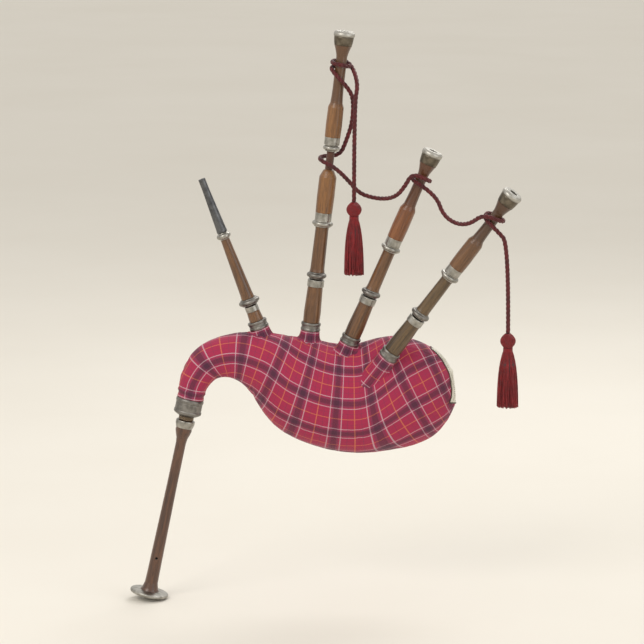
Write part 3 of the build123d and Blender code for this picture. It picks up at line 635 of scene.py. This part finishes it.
def bag_grid(inset=0.0):
    """Rings of points round the bag, each from underneath, up the front, over and down the back."""
    rings = []
    for x, z, heading, half_height, half_thickness in smooth_rows(BAG_SECTIONS, RINGS):
        heading = math.radians(heading)
        up = Vector((-math.cos(heading), 0, math.sin(heading)))
        ring = []
        for step in range(RING_POINTS):
            angle = 2 * math.pi * step / RING_POINTS - math.pi / 2
            ring.append(Vector((x, 0, z)) + up * (half_height - inset) * math.sin(angle)
                        - Vector((0, (half_thickness - inset) * math.cos(angle), 0)))
        rings.append(ring)
    return rings


def onto_cad_cover(rings):
    """The rings moved onto the CAD cover's outer surface, wherever that is close and smooth."""
    tree = surface_of(CAD_NODES["bag_cover"].data)
    reach = 8 * MM
    for i, ring in enumerate(rings):
        centre = sum(ring, Vector()) / len(ring)
        for j, point in enumerate(ring):
            outward = (point - centre).normalized()
            hit, normal, _, gap = tree.ray_cast(point + outward * reach, -outward, 2 * reach)
            if hit is not None and abs(gap - reach) < 5 * MM and normal.dot(outward) > 0.6:
                rings[i][j] = hit
    return rings


TARTAN_TURN = math.radians(20)  # the cloth is cut so that its lines rise towards the bag's rear
TURN_START = 0.380              # metres down the bag from its neck
TURN_END = 0.520
ALONG_START = 0.022             # shifts that set the dark stripes where they are worn
ROUND_START = 0.030


def cloth_coordinates(rings):
    """Metres along and round the cloth for each ring point, from the neck and from the bag's front."""
    half = RING_POINTS // 2
    front = RING_POINTS // 4
    coordinates = []
    along = 0.0
    for i, ring in enumerate(rings):
        if i:
            along += (ring[front] - rings[i - 1][front]).length
        down = [0.0] * RING_POINTS
        for side in (-1, 1):
            for step in range(1, half + 1):
                here, before = (half + side * step) % RING_POINTS, (half + side * (step - 1)) % RING_POINTS
                down[here] = down[before] + (ring[here] - ring[before]).length
        share = min(max((along - TURN_START) / (TURN_END - TURN_START), 0), 1)
        turn = TARTAN_TURN * share * share * (3 - 2 * share)
        past = along - TURN_START
        for height in down:
            rise = down[front] - height
            coordinates.append((
                TURN_START + past * math.cos(turn) + rise * math.sin(turn) + ALONG_START,
                rise * math.cos(turn) - past * math.sin(turn) + ROUND_START))
    return coordinates


def grid_mesh(name, rings, material):
    """A mesh through the rings, open at its first ring and closed at its last."""
    points = [p for ring in rings for p in ring]
    faces = quads(len(rings), RING_POINTS, loop=True)
    last = (len(rings) - 1) * RING_POINTS
    points.append(sum(rings[-1], Vector()) / RING_POINTS)
    for j in range(RING_POINTS):
        faces.append((last + j, len(points) - 1, last + (j + 1) % RING_POINTS))
    return mesh_piece(name, points, faces, material)


def add_coordinates(piece, name, coordinates):
    """Give each point of a piece a place in a named UV map."""
    layer = piece.data.uv_layers.new(name=name)
    for loop in piece.data.loops:
        layer.data[loop.index].uv = coordinates[loop.vertex_index]


# ---------------------------------------------------------------- bag cover
def collar_foot(pipe):
    """The height on a pipe of the foot of its stock collar."""
    back = pipe.inverted()
    near = [back @ v.co for v in CAD_NODES["stock_collars"].data.vertices]
    return min(p.z for p in near if p.xy.length < PIPE_REACH)


TOP_PIPES = {"bass": BASS, "tenor_1": TENOR_1, "tenor_2": TENOR_2, "blowpipe": BLOWPIPE}
SLEEVE_FLARE = {"bass": 10 * MM, "tenor_1": 9 * MM, "tenor_2": 4 * MM, "blowpipe": 10 * MM}
SLEEVE_RADIUS = 18.7 * MM       # at a sleeve's top
SLEEVE_PLEAT = 0.75 * MM
SLEEVE_SPREAD = 34 * MM         # the cover is held in place this near to a pipe's axis
SLEEVE_HOLE = 15 * MM           # and it is cut away this near
NECK_REACH = 48 * MM            # only cloth this near in height to a collar counts as near its pipe
SETTLING_FRAMES = 22
SETTLING_CAP = 4 * MM           # no point settles further than this
BAG_INSET = 2.5 * MM            # how far inside the bag's sections the form under the cover lies
HELD_FIRST, HELD_LAST = 3, 4    # how many rings are held at the bag's neck and at its rear
RIPPLE_DEPTH = 1.6 * MM
FINE_DEPTH = 0.4 * MM
GATHER_DEPTH = 1.1 * MM

collar_heights = {name: collar_foot(pipe) for name, pipe in TOP_PIPES.items()}
collar_places = [(pipe.inverted(), collar_heights[name]) for name, pipe in TOP_PIPES.items()]


def near_pipes(point):
    """The distance to the nearest pipe's axis on top of the bag, and the angle round it."""
    found = []
    for back, height in collar_places:
        local = back @ point
        if abs(local.z - height) < NECK_REACH:
            found.append((local.xy.length, math.atan2(local.y, local.x)))
    return min(found, default=(1.0, 0.0))


def settle_cloth(piece, form, held, cap):
    """Let the loose cover settle by simulation; a point that moves further than cap is cut back to it."""
    start = np.array([v.co[:] for v in piece.data.vertices])
    group = piece.vertex_groups.new(name="held")
    group.add(held, 1.0, "REPLACE")
    body = form.modifiers.new("collision", "COLLISION")
    form.collision.thickness_outer = 1 * MM
    form.collision.damping = 0.5
    cloth = piece.modifiers.new("cloth", "CLOTH")
    settings = cloth.settings
    settings.quality = 6
    settings.mass = 0.15
    settings.tension_stiffness = 20
    settings.compression_stiffness = 20
    settings.bending_stiffness = 0.4
    settings.shrink_min = -0.02
    settings.vertex_group_mass = "held"
    settings.use_pressure = True
    settings.uniform_pressure_force = 0.15
    cloth.collision_settings.distance_min = 1 * MM
    scene = bpy.context.scene
    for step in range(1, SETTLING_FRAMES + 1):
        scene.frame_set(step)
    graph = bpy.context.evaluated_depsgraph_get()
    settled = piece.evaluated_get(graph).to_mesh()
    moved = np.array([v.co[:] for v in settled.vertices]) - start
    length = np.linalg.norm(moved, axis=1, keepdims=True)
    moved *= np.minimum(1, cap / np.maximum(length, 1e-9))
    piece.modifiers.remove(cloth)
    form.modifiers.remove(body)
    scene.frame_set(1)
    piece.vertex_groups.clear()
    for vertex, place in zip(piece.data.vertices, start + moved):
        vertex.co = place


def make_cover(material):
    """The tartan cover: a loose cloth skin over the bag, drawn in to a sleeve at each stock."""
    rings = onto_cad_cover(bag_grid())
    cover = grid_mesh("tartan_cover", rings, material)
    coordinates = cloth_coordinates(rings)
    add_coordinates(cover, "cloth", coordinates + [coordinates[-1]])
    held = [v.index for v in cover.data.vertices
            if near_pipes(v.co)[0] < SLEEVE_SPREAD
            or not HELD_FIRST <= v.index // RING_POINTS < RINGS - HELD_LAST]
    form = grid_mesh("bag_under_cover", bag_grid(BAG_INSET), material)
    settle_cloth(cover, form, held, SETTLING_CAP)
    bpy.data.objects.remove(form)
    fine = cover.modifiers.new("fine", "SUBSURF")
    fine.levels = fine.render_levels = 1
    fine.uv_smooth = "PRESERVE_BOUNDARIES"
    apply_modifiers(cover)
    crease(cover)
    shape = bmesh.new()
    shape.from_mesh(cover.data)
    inside = [v for v in shape.verts if near_pipes(v.co)[0] < SLEEVE_HOLE]
    bmesh.ops.delete(shape, geom=inside, context="VERTS")
    shape.to_mesh(cover.data)
    shape.free()
    return place_on_body(cover, "bag_and_stocks", "bag_cover")


def apply_modifiers(piece):
    graph = bpy.context.evaluated_depsgraph_get()
    mesh = bpy.data.meshes.new_from_object(piece.evaluated_get(graph))
    piece.modifiers.clear()
    piece.data = mesh


def crease(cover):
    """Fine slack in the cloth: soft ripples, and gathers that fan out from each stock."""
    normals = [v.normal.copy() for v in cover.data.vertices]
    for vertex, normal in zip(cover.data.vertices, normals):
        gap, angle = near_pipes(vertex.co)
        ripple = noise.noise(Vector((vertex.co.x * 16, vertex.co.y * 16, vertex.co.z * 30)))
        fine = noise.noise(vertex.co * 75)
        gather = math.exp(-max(gap - 20 * MM, 0) / (14 * MM)) * math.sin(11 * angle + 3 * ripple)
        vertex.co += normal * (RIPPLE_DEPTH * ripple + FINE_DEPTH * fine + GATHER_DEPTH * gather)


def make_sleeves(cover, material):
    """A short gathered sleeve of the same cloth from the cover up to the collar of each stock."""
    tree = surface_of(cover.data)
    around, rows = 120, 14
    for name, pipe in TOP_PIPES.items():
        flare = SLEEVE_FLARE[name]
        top = collar_heights[name] + 0.2 * MM
        points, coordinates = [], []
        for step in range(around):
            angle = 2 * math.pi * step / around
            down = pipe.to_3x3() @ Vector((0, 0, -1))
            start = pipe @ round_axis(SLEEVE_RADIUS + flare, angle, top + 45 * MM)
            hit = tree.ray_cast(start, down, 0.2)[0]
            low = (pipe.inverted() @ hit).z if hit is not None else top - 20 * MM
            run = 0.0
            for row in range(rows):
                t = row / (rows - 1)
                radius = SLEEVE_RADIUS + flare * t ** 2.6
                height = top + (low - 0.7 * MM - top) * (1 - (1 - t) ** 1.7)
                wave = math.sin(17 * angle + 1.3 * math.sin(3 * angle))
                radius += SLEEVE_PLEAT * wave * math.sin(math.pi * min(t * 1.3, 1))
                points.append(pipe @ round_axis(radius, angle, height))
                if row:
                    run += (points[-1] - points[-2]).length
                coordinates.append((angle * 22 * MM, run + 20 * MM))
        faces = quads(around, rows, ring=True, flipped=True)
        sleeve = mesh_piece(f"cover_sleeve_{name}", points, faces, material)
        add_coordinates(sleeve, "cloth", coordinates)
        place_on_body(sleeve, "bag_and_stocks")


TRIM_HUB = Vector((0.120, 0, 0.020))    # inside the bag; the trim is laid out in angles about it
TRIM_TAPER = 0.64                       # the share of its width that the trim loses towards its top


def make_trim(cover, cloth, edging):
    """The pale binding over the cover's rear seam, with a dark cord round its edges and stitches."""
    low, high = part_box("cover_trim")
    tree = surface_of(cover.data)
    hub = TRIM_HUB
    first = math.atan2(low.z - hub.z, high.x - hub.x)
    last = math.atan2(high.z - hub.z, low.x - hub.x)
    rows, columns = 90, 19
    points, coordinates, grid = [], [], []
    for row in range(rows):
        t = row / (rows - 1)
        angle = first + (last - first) * t
        out = Vector((math.cos(angle), 0, math.sin(angle)))
        half_width = high.y * (1 - TRIM_TAPER * t)
        line = []
        lift = min(1, 0.25 + 7 * t, 0.25 + 7 * (1 - t))
        for column in range(columns):
            u = 2 * column / (columns - 1) - 1
            y = u * half_width
            hit = tree.ray_cast(hub + Vector((0, y, 0)) + out * 0.2, -out, 0.25)[0]
            thick = lift * (2.1 - 1.5 * abs(u) ** 4) * MM
            quilt = 0.35 * MM * math.cos(2 * math.pi * row / 9) * (1 - u * u)
            line.append(hit + (hit - hub).normalized() * (thick + quilt))
        grid.append(line)
        points += line
        coordinates += [(c * 2 * half_width / (columns - 1), t * 0.14) for c in range(columns)]
    trim = mesh_piece("rear_trim", points, quads(rows, columns, flipped=True), cloth)
    add_coordinates(trim, "cloth", coordinates)
    thick = trim.modifiers.new("thick", "SOLIDIFY")
    thick.thickness = 1.2 * MM
    apply_modifiers(trim)
    place_on_body(trim, "bag_and_stocks", "cover_trim")
    edges = {"front": [row[0] for row in grid], "back": [row[-1] for row in grid],
             "low": grid[0], "high": grid[-1]}
    for side, line in edges.items():
        piece = strands("trim_edging_" + side, [line], 1.3 * MM, edging, 10)
        place_on_body(piece, "bag_and_stocks")
    low_end, crown = Vector((0.2 * MM, 0, 0)), Vector((0.7 * MM, 0, 0))
    stitches = []
    for column in (2, columns - 3):
        for row in range(1, rows - 2, 3):
            here, beyond = grid[row][column], grid[row + 1][column]
            stitches.append([here + low_end, (here + beyond) / 2 + crown, beyond + low_end])
    piece = strands("trim_stitches", stitches, 0.35 * MM, edging)
    place_on_body(piece, "bag_and_stocks")


# ---------------------------------------------------------------- tubes and cords
def frames_along(line):
    """A normal and a binormal for each point, carried along the line without twist."""
    ahead = [(b - a).normalized() for a, b in zip(line, line[1:])]
    ahead.append(ahead[-1])
    side = ahead[0].orthogonal().normalized()
    found = []
    for direction in ahead:
        side = (side - direction * side.dot(direction)).normalized()
        found.append((side, direction.cross(side)))
    return found


def tube_geometry(line, radius, sides, offset):
    """Points, faces and strand coordinates of a round tube along a line, closed at both ends."""
    points, coordinates = [], []
    run = 0.0
    for i, (place, (a, b)) in enumerate(zip(line, frames_along(line))):
        if i:
            run += (place - line[i - 1]).length
        for side in range(sides):
            angle = 2 * math.pi * side / sides
            points.append(place + (a * math.cos(angle) + b * math.sin(angle)) * radius)
            coordinates.append((2 * abs(side / sides - 0.5), run))
    faces = quads(len(line), sides, offset, loop=True, flipped=True)
    last = offset + (len(line) - 1) * sides
    faces.append(tuple(offset + side for side in reversed(range(sides))))
    faces.append(tuple(last + side for side in range(sides)))
    return points, faces, coordinates


def strands(name, lines, radius, material, sides=6):
    """Several round threads in one piece."""
    points, faces, coordinates = [], [], []
    for line in lines:
        new_points, new_faces, new_coordinates = tube_geometry(line, radius, sides, len(points))
        points += new_points
        faces += new_faces
        coordinates += new_coordinates
    piece = mesh_piece(name, points, faces, material)
    add_coordinates(piece, "strand", coordinates)
    return piece


# The routes of the drone cord, as it is tied.
BASS_NECK_ROUTE = (
    (0.0035, -0.028, 0.395), (0.0035, -0.028, 0.590), (0.012, -0.026, 0.628), (-0.0047, 0.017, 0.6683),
    (-0.0388, 0.017, 0.6692), (-0.0391, -0.017, 0.6662), (-0.0056, -0.017, 0.6603),
    (-0.0059, 0.017, 0.6574), (-0.040, 0.017, 0.6582), (-0.0407, -0.017, 0.6523),
    (-0.0057, -0.016, 0.6151), (0.0023, -0.004, 0.592), (0.0013, 0.001, 0.570),
)
BASS_WAIST_ROUTE = (
    (0.0013, 0.001, 0.570), (0.0003, 0.006, 0.548), (-0.0115, 0.012, 0.511), (-0.0241, 0.019, 0.4803),
    (-0.0614, 0.017, 0.4795), (-0.0648, -0.012, 0.4759), (-0.0352, -0.020, 0.4624),
    (-0.008, -0.002, 0.434), (0.002, 0.0005, 0.4215),
)
TENOR_ROUTE = (
    (0.002, 0.0005, 0.4215), (0.012, 0.003, 0.409), (0.036, -0.008, 0.401), (0.064, -0.028, 0.400),
    (0.086, -0.052, 0.409), (0.102, -0.068, 0.430), (0.1172, -0.0643, 0.4568), (0.152, -0.0612, 0.4389),
    (0.1512, -0.027, 0.437), (0.1184, -0.0268, 0.4467), (0.1173, -0.0595, 0.4418),
    (0.1457, -0.0602, 0.4242), (0.167, -0.068, 0.404), (0.174, -0.080, 0.384), (0.187, -0.092, 0.369),
    (0.207, -0.112, 0.362), (0.228, -0.134, 0.367), (0.252, -0.154, 0.388), (0.2913, -0.1477, 0.3712),
    (0.2925, -0.1135, 0.3728), (0.2614, -0.1125, 0.3878), (0.2545, -0.1449, 0.3782),
    (0.2793, -0.144, 0.3544), (0.302, -0.153, 0.330), (0.302, -0.153, 0.155),
)
CORD_DIAMETER = 9 * MM
ROPE_LAY = 27 * MM              # length of one turn of the twist
STRAND_RADIUS = 2.45 * MM
POINT_GAP = 1.6 * MM            # points of a cord's line that are closer than this are left out


def smooth_line(name, route):
    """The points of a NURBS curve with the route as its control points, without those that crowd."""
    data = bpy.data.curves.new(name, "CURVE")
    data.dimensions = "3D"
    spline = data.splines.new("NURBS")
    spline.points.add(len(route) - 1)
    for point, place in zip(spline.points, route):
        point.co = (*place, 1)
    spline.order_u = 3
    spline.use_endpoint_u = True
    spline.resolution_u = 100
    curve = new_object(name, data)
    mesh = bpy.data.meshes.new_from_object(curve)
    places = [v.co.copy() for v in mesh.vertices]
    bpy.data.objects.remove(curve)
    bpy.data.meshes.remove(mesh)
    line = [places[0]]
    for place in places[1:-1]:
        if (place - line[-1]).length > POINT_GAP:
            line.append(place)
    return line + [places[-1]]


def rope(name, line, material):
    """A cord laid up from three twisted strands."""
    lays = []
    frames = frames_along(line)
    offset = CORD_DIAMETER / 2 - STRAND_RADIUS
    for strand in range(3):
        run, lay = 0.0, []
        for i, (place, (a, b)) in enumerate(zip(line, frames)):
            if i:
                run += (place - line[i - 1]).length
            angle = 2 * math.pi * (run / ROPE_LAY + strand / 3)
            lay.append(place + (a * math.cos(angle) + b * math.sin(angle)) * offset)
        lays.append(lay)
    return strands(name, lays, STRAND_RADIUS, material, 12)


# ---------------------------------------------------------------- tassels
HEAD_RADIUS = 14.2 * MM
HEAD = 2 * HEAD_RADIUS          # the height of a tassel's head
WAIST = 8.6 * MM                # the radius under the head, where thread binds the skirt
SKIRT_TOP = -HEAD - 2 * MM
CORE_RADIUS = 2 * MM            # the radius of the hollow down a tassel's two cores


def head_threads(hang):
    """Threads that run slantwise over a tassel's round head."""
    lines = []
    for thread in range(44):
        line = []
        for step in range(17):
            t = step / 16
            angle = 2 * math.pi * thread / 44 + 0.5 * t
            radius = max(HEAD_RADIUS * math.sin(math.pi * (0.08 + 0.80 * t)) ** 0.8, 4.6 * MM)
            line.append(hang + round_axis(radius, angle, -1.5 * MM - (HEAD - 1 * MM) * t))
        lines.append(line)
    return lines


def waist_binding(hang):
    """One thread wound five times round a tassel's waist."""
    return [hang + round_axis(WAIST, 2 * math.pi * step / 24, -HEAD - 0.5 * MM - 1.5 * MM * step / 24)
            for step in range(121)]


def skirt_threads(hang, skirt_radius, skirt_bottom):
    """Loose threads that flare from the waist and hang with a little sway."""
    dice = random.Random(5)
    lines = []
    for thread in range(300):
        angle = 2 * math.pi * thread / 300 * 13.0
        share = math.sqrt(dice.uniform(0.35, 1))
        sway, lift = dice.uniform(-0.12, 0.12), dice.uniform(0, 5 * MM)
        line = []
        for step in range(10):
            t = step / 9
            opened = (1 - math.exp(-3.2 * t)) / (1 - math.exp(-3.2))
            radius = (WAIST * 0.8 + (skirt_radius - WAIST * 0.8) * opened) * share
            turn = angle + sway * t * t + 0.04 * math.sin(9 * t + thread)
            z = SKIRT_TOP + (skirt_bottom + lift - SKIRT_TOP) * t
            line.append(hang + round_axis(radius, turn, z))
        lines.append(line)
    return lines


def turned_core(name, outline, hang, material):
    points, faces = turned_geometry([Vector(p) for p in reversed(outline)], Matrix.Translation(hang))
    return mesh_piece(name, points, faces, material)


def make_tassel(node, body, silk, shadow_core):
    """A knotted head bound with thread, over a full skirt of hanging silk; dark silk cores inside the head
    and the skirt are painted shade between the threads.
    """
    low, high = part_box(node)
    hang = Vector(((low.x + high.x) / 2, (low.y + high.y) / 2, high.z))
    skirt_radius = (high.x - low.x) / 2 - 0.8 * MM
    bottom = low.z - high.z
    core_bottom = bottom + 9 * MM
    # Painted shade: dark turned cores under the head threads and inside the skirt stand in for the shade
    # between the threads.
    skirt_shadow_core = [(WAIST * 0.7, SKIRT_TOP), (skirt_radius * 0.72, SKIRT_TOP - 30 * MM),
                  (skirt_radius * 0.8, core_bottom), (CORE_RADIUS, core_bottom), (CORE_RADIUS, SKIRT_TOP)]
    head_shadow_core = [(HEAD_RADIUS * math.sin(math.pi * (0.07 + 0.86 * t / 12)), -1 * MM - HEAD * t / 12)
                 for t in range(13)] + [(CORE_RADIUS, -HEAD - 1 * MM), (CORE_RADIUS, -1 * MM)]
    pieces = [
        strands(f"{node}_head_threads", head_threads(hang), 1.0 * MM, silk),
        strands(f"{node}_binding", [waist_binding(hang)], 0.95 * MM, silk),
        strands(f"{node}_skirt", skirt_threads(hang, skirt_radius, bottom), 0.75 * MM, silk, 5),
        turned_core(f"{node}_core", skirt_shadow_core, hang, shadow_core),
        turned_core(f"{node}_head_shadow_core", head_shadow_core, hang, shadow_core),
    ]
    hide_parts(node)
    for piece in pieces:
        place_on_body(piece, body)
    return pieces


def make_cords(silk, tassel_silk, shadow_core):
    """The drone cord in its three lengths, with a tassel on each free end."""
    upper = make_tassel("tassel_1", "bass_top", tassel_silk, shadow_core)
    lower = make_tassel("tassel_2", "bag_and_stocks", tassel_silk, shadow_core)

    line = smooth_line("neck_line", tuple(reversed(BASS_NECK_ROUTE)))
    neck = rope("drone_cord_neck", line, silk)
    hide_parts("cord_bass_neck")
    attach(neck, "bass_top")

    line = smooth_line("waist_line", BASS_WAIST_ROUTE)
    waist = rope("drone_cord_waist", line, silk)
    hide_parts("cord_bass_waist")
    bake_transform(waist)

    line = smooth_line("tenor_line", TENOR_ROUTE)
    swags = rope("drone_cord_tenors", line, silk)
    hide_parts("cord_tenors")
    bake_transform(swags)


# ---------------------------------------------------------------- putting it together
# Each drone's pipe, the bodies of its bottom and top joints, the tones of its lower and upper wood,
# and the height on the pipe from which the upper wood is stained darker.
DRONES = {
    "bass": (BASS, "bag_and_stocks", "bass_top", BROWN, GOLDEN, -0.146),
    "tenor_1": (TENOR_1, "tenor_1_bottom", "tenor_1_top", BROWN, AMBER, -0.123),
    "tenor_2": (TENOR_2, "tenor_2_bottom", "tenor_2_top", OLIVE, CHESTNUT, -0.123),
}
# Thread: its dark and light tones, and the width of a turn.
HEMP = ((0.085, 0.050, 0.020), (0.300, 0.200, 0.095), 0.5 * MM)
WAXED = ((0.050, 0.030, 0.014), (0.200, 0.130, 0.060), 0.9 * MM)
RED_WAXED = ((0.045, 0.014, 0.008), (0.150, 0.055, 0.028), 0.8 * MM)


def make_drone(name):
    """One drone and its stock: turned wood and metal, hemp, and on the bass a middle joint."""
    pipe, bottom_body, top_body, lower_tones, upper_tones, shoulder = DRONES[name]
    lower_wood = wood(f"{name}_lower_wood", pipe, *lower_tones)
    upper_wood = wood(f"{name}_upper_wood", pipe, *upper_tones, stained=(shoulder, shoulder + 12 * MM))
    cap_metal = metal(f"{name}_cap_bronze", pipe, *BRONZE, rubbed=(-9 * MM, -5 * MM))
    pewter_metal = metal(f"{name}_pewter", pipe, *PEWTER)
    nickel_metal = metal(f"{name}_nickel", pipe, *NICKEL)
    hemp = wound_thread(f"{name}_hemp", pipe, *HEMP)
    for part, body, material, slot in (
            ("stock", "bag_and_stocks", lower_wood, "drone_wood"),
            ("bottom_joint", bottom_body, lower_wood, "drone_wood"),
            ("bottom_ring", bottom_body, pewter_metal, "pewter"),
            ("top_joint", top_body, upper_wood, "drone_wood"),
            ("top_ferrule", top_body, nickel_metal, "nickel"),
            ("ring_cap", top_body, cap_metal, "nickel")):
        turn_again(f"{name}_{part}", pipe, body, material)
    dress(f"{name}_bottom_hemp", hemp)
    if name == "bass":
        turn_again("bass_middle_joint", pipe, "bass_middle", upper_wood)
        turn_again("bass_middle_ferrule", pipe, "bass_middle", nickel_metal)
        dress("bass_middle_hemp", wound_thread("pin_thread", pipe, *RED_WAXED))


def dress(node, material):
    """Give a CAD node that stays as it is its material."""
    CAD_NODES[node].data.materials[0] = material


def main():
    make_camera()
    silk = spun_thread("maroon_silk", (0.034, 0.002, 0.003), (0.150, 0.006, 0.009))
    tassel_silk = spun_thread("red_silk", (0.110, 0.003, 0.005), (0.330, 0.008, 0.012))
    # Painted shade: darker silk for the tassels' cores, standing in for the shade between their threads.
    shadow_core = spun_thread("tassel_shadow_silk", (0.030, 0.002, 0.004), (0.070, 0.005, 0.008))
    make_cords(silk, tassel_silk, shadow_core)
    make_studio()

    for name in DRONES:
        make_drone(name)

    shared = Matrix.Identity(4)
    turn_again("stock_collars", list(TOP_PIPES.values()), "bag_and_stocks",
               metal("collar_pewter", shared, *PEWTER, line_depth=0.06))
    turn_again("stock_ferrules", list(TOP_PIPES.values()), "bag_and_stocks",
               metal("ferrule_nickel", shared, *NICKEL, line_depth=0.06))

    pipe_wood = wood("blowpipe_wood", BLOWPIPE, *BROWN)
    for node, body, material, slot in (
            ("blowpipe_stock", "bag_and_stocks", pipe_wood, "drone_wood"),
            ("blowpipe", "blowpipe", pipe_wood, "drone_wood"),
            ("blowpipe_ring", "blowpipe", metal("blowpipe_pewter", BLOWPIPE, *PEWTER), "pewter"),
            ("blowpipe_ferrule", "blowpipe", metal("blowpipe_nickel", BLOWPIPE, *NICKEL), "nickel"),
            ("mouthpiece", "mouthpiece", metal("mouthpiece_metal", BLOWPIPE, *DARK_METAL), "dark_metal")):
        turn_again(node, BLOWPIPE, body, material)
    dress("blowpipe_hemp", wound_thread("blowpipe_thread", BLOWPIPE, *HEMP))
    dress("valve_flap", leather("valve_leather", (0.12, 0.06, 0.03), (0.28, 0.16, 0.08)))

    dark_wood = wood("chanter_wood", CHANTER, *DARK, polish=0.5)
    for node, body, material, slot in (
            ("chanter_stock", "bag_and_stocks", dark_wood, "dark_wood"),
            ("chanter_stock_collar", "bag_and_stocks", metal("chanter_pewter", CHANTER, *PEWTER), "pewter"),
            ("chanter_ferrule", "chanter", metal("chanter_nickel", CHANTER, *NICKEL), "nickel"),
            ("chanter_sole", "chanter", metal("sole_nickel", CHANTER, *NICKEL), "nickel")):
        turn_again(node, CHANTER, body, material)
    dress("chanter", dark_wood)
    dress("chanter_hemp", wound_thread("chanter_thread", CHANTER, *HEMP))
    dress("stock_ties", wound_thread("tie_thread", shared, *WAXED))
    dress("chanter_reed_staple", metal("staple_brass", CHANTER, *BRASS))
    reed_cane = cane("reed_cane")
    dress("chanter_reed", reed_cane)
    bridle = rubber("bridle_rubber")
    for name in DRONES:
        dress(f"{name}_reed", reed_cane)
        dress(f"{name}_reed_tongue", reed_cane)
        dress(f"{name}_reed_bridle", bridle)
    dress("bag", leather("bag_hide", (0.20, 0.12, 0.06), (0.38, 0.26, 0.15)))

    cloth = tartan()
    cover = make_cover(cloth)
    make_sleeves(cover, cloth)
    make_trim(cover, plain_weave("trim_linen", (0.50, 0.46, 0.36), (0.80, 0.76, 0.64), 0.6 * MM),
              spun_thread("trim_edging_thread", (0.030, 0.020, 0.016), (0.110, 0.075, 0.055)))


main()
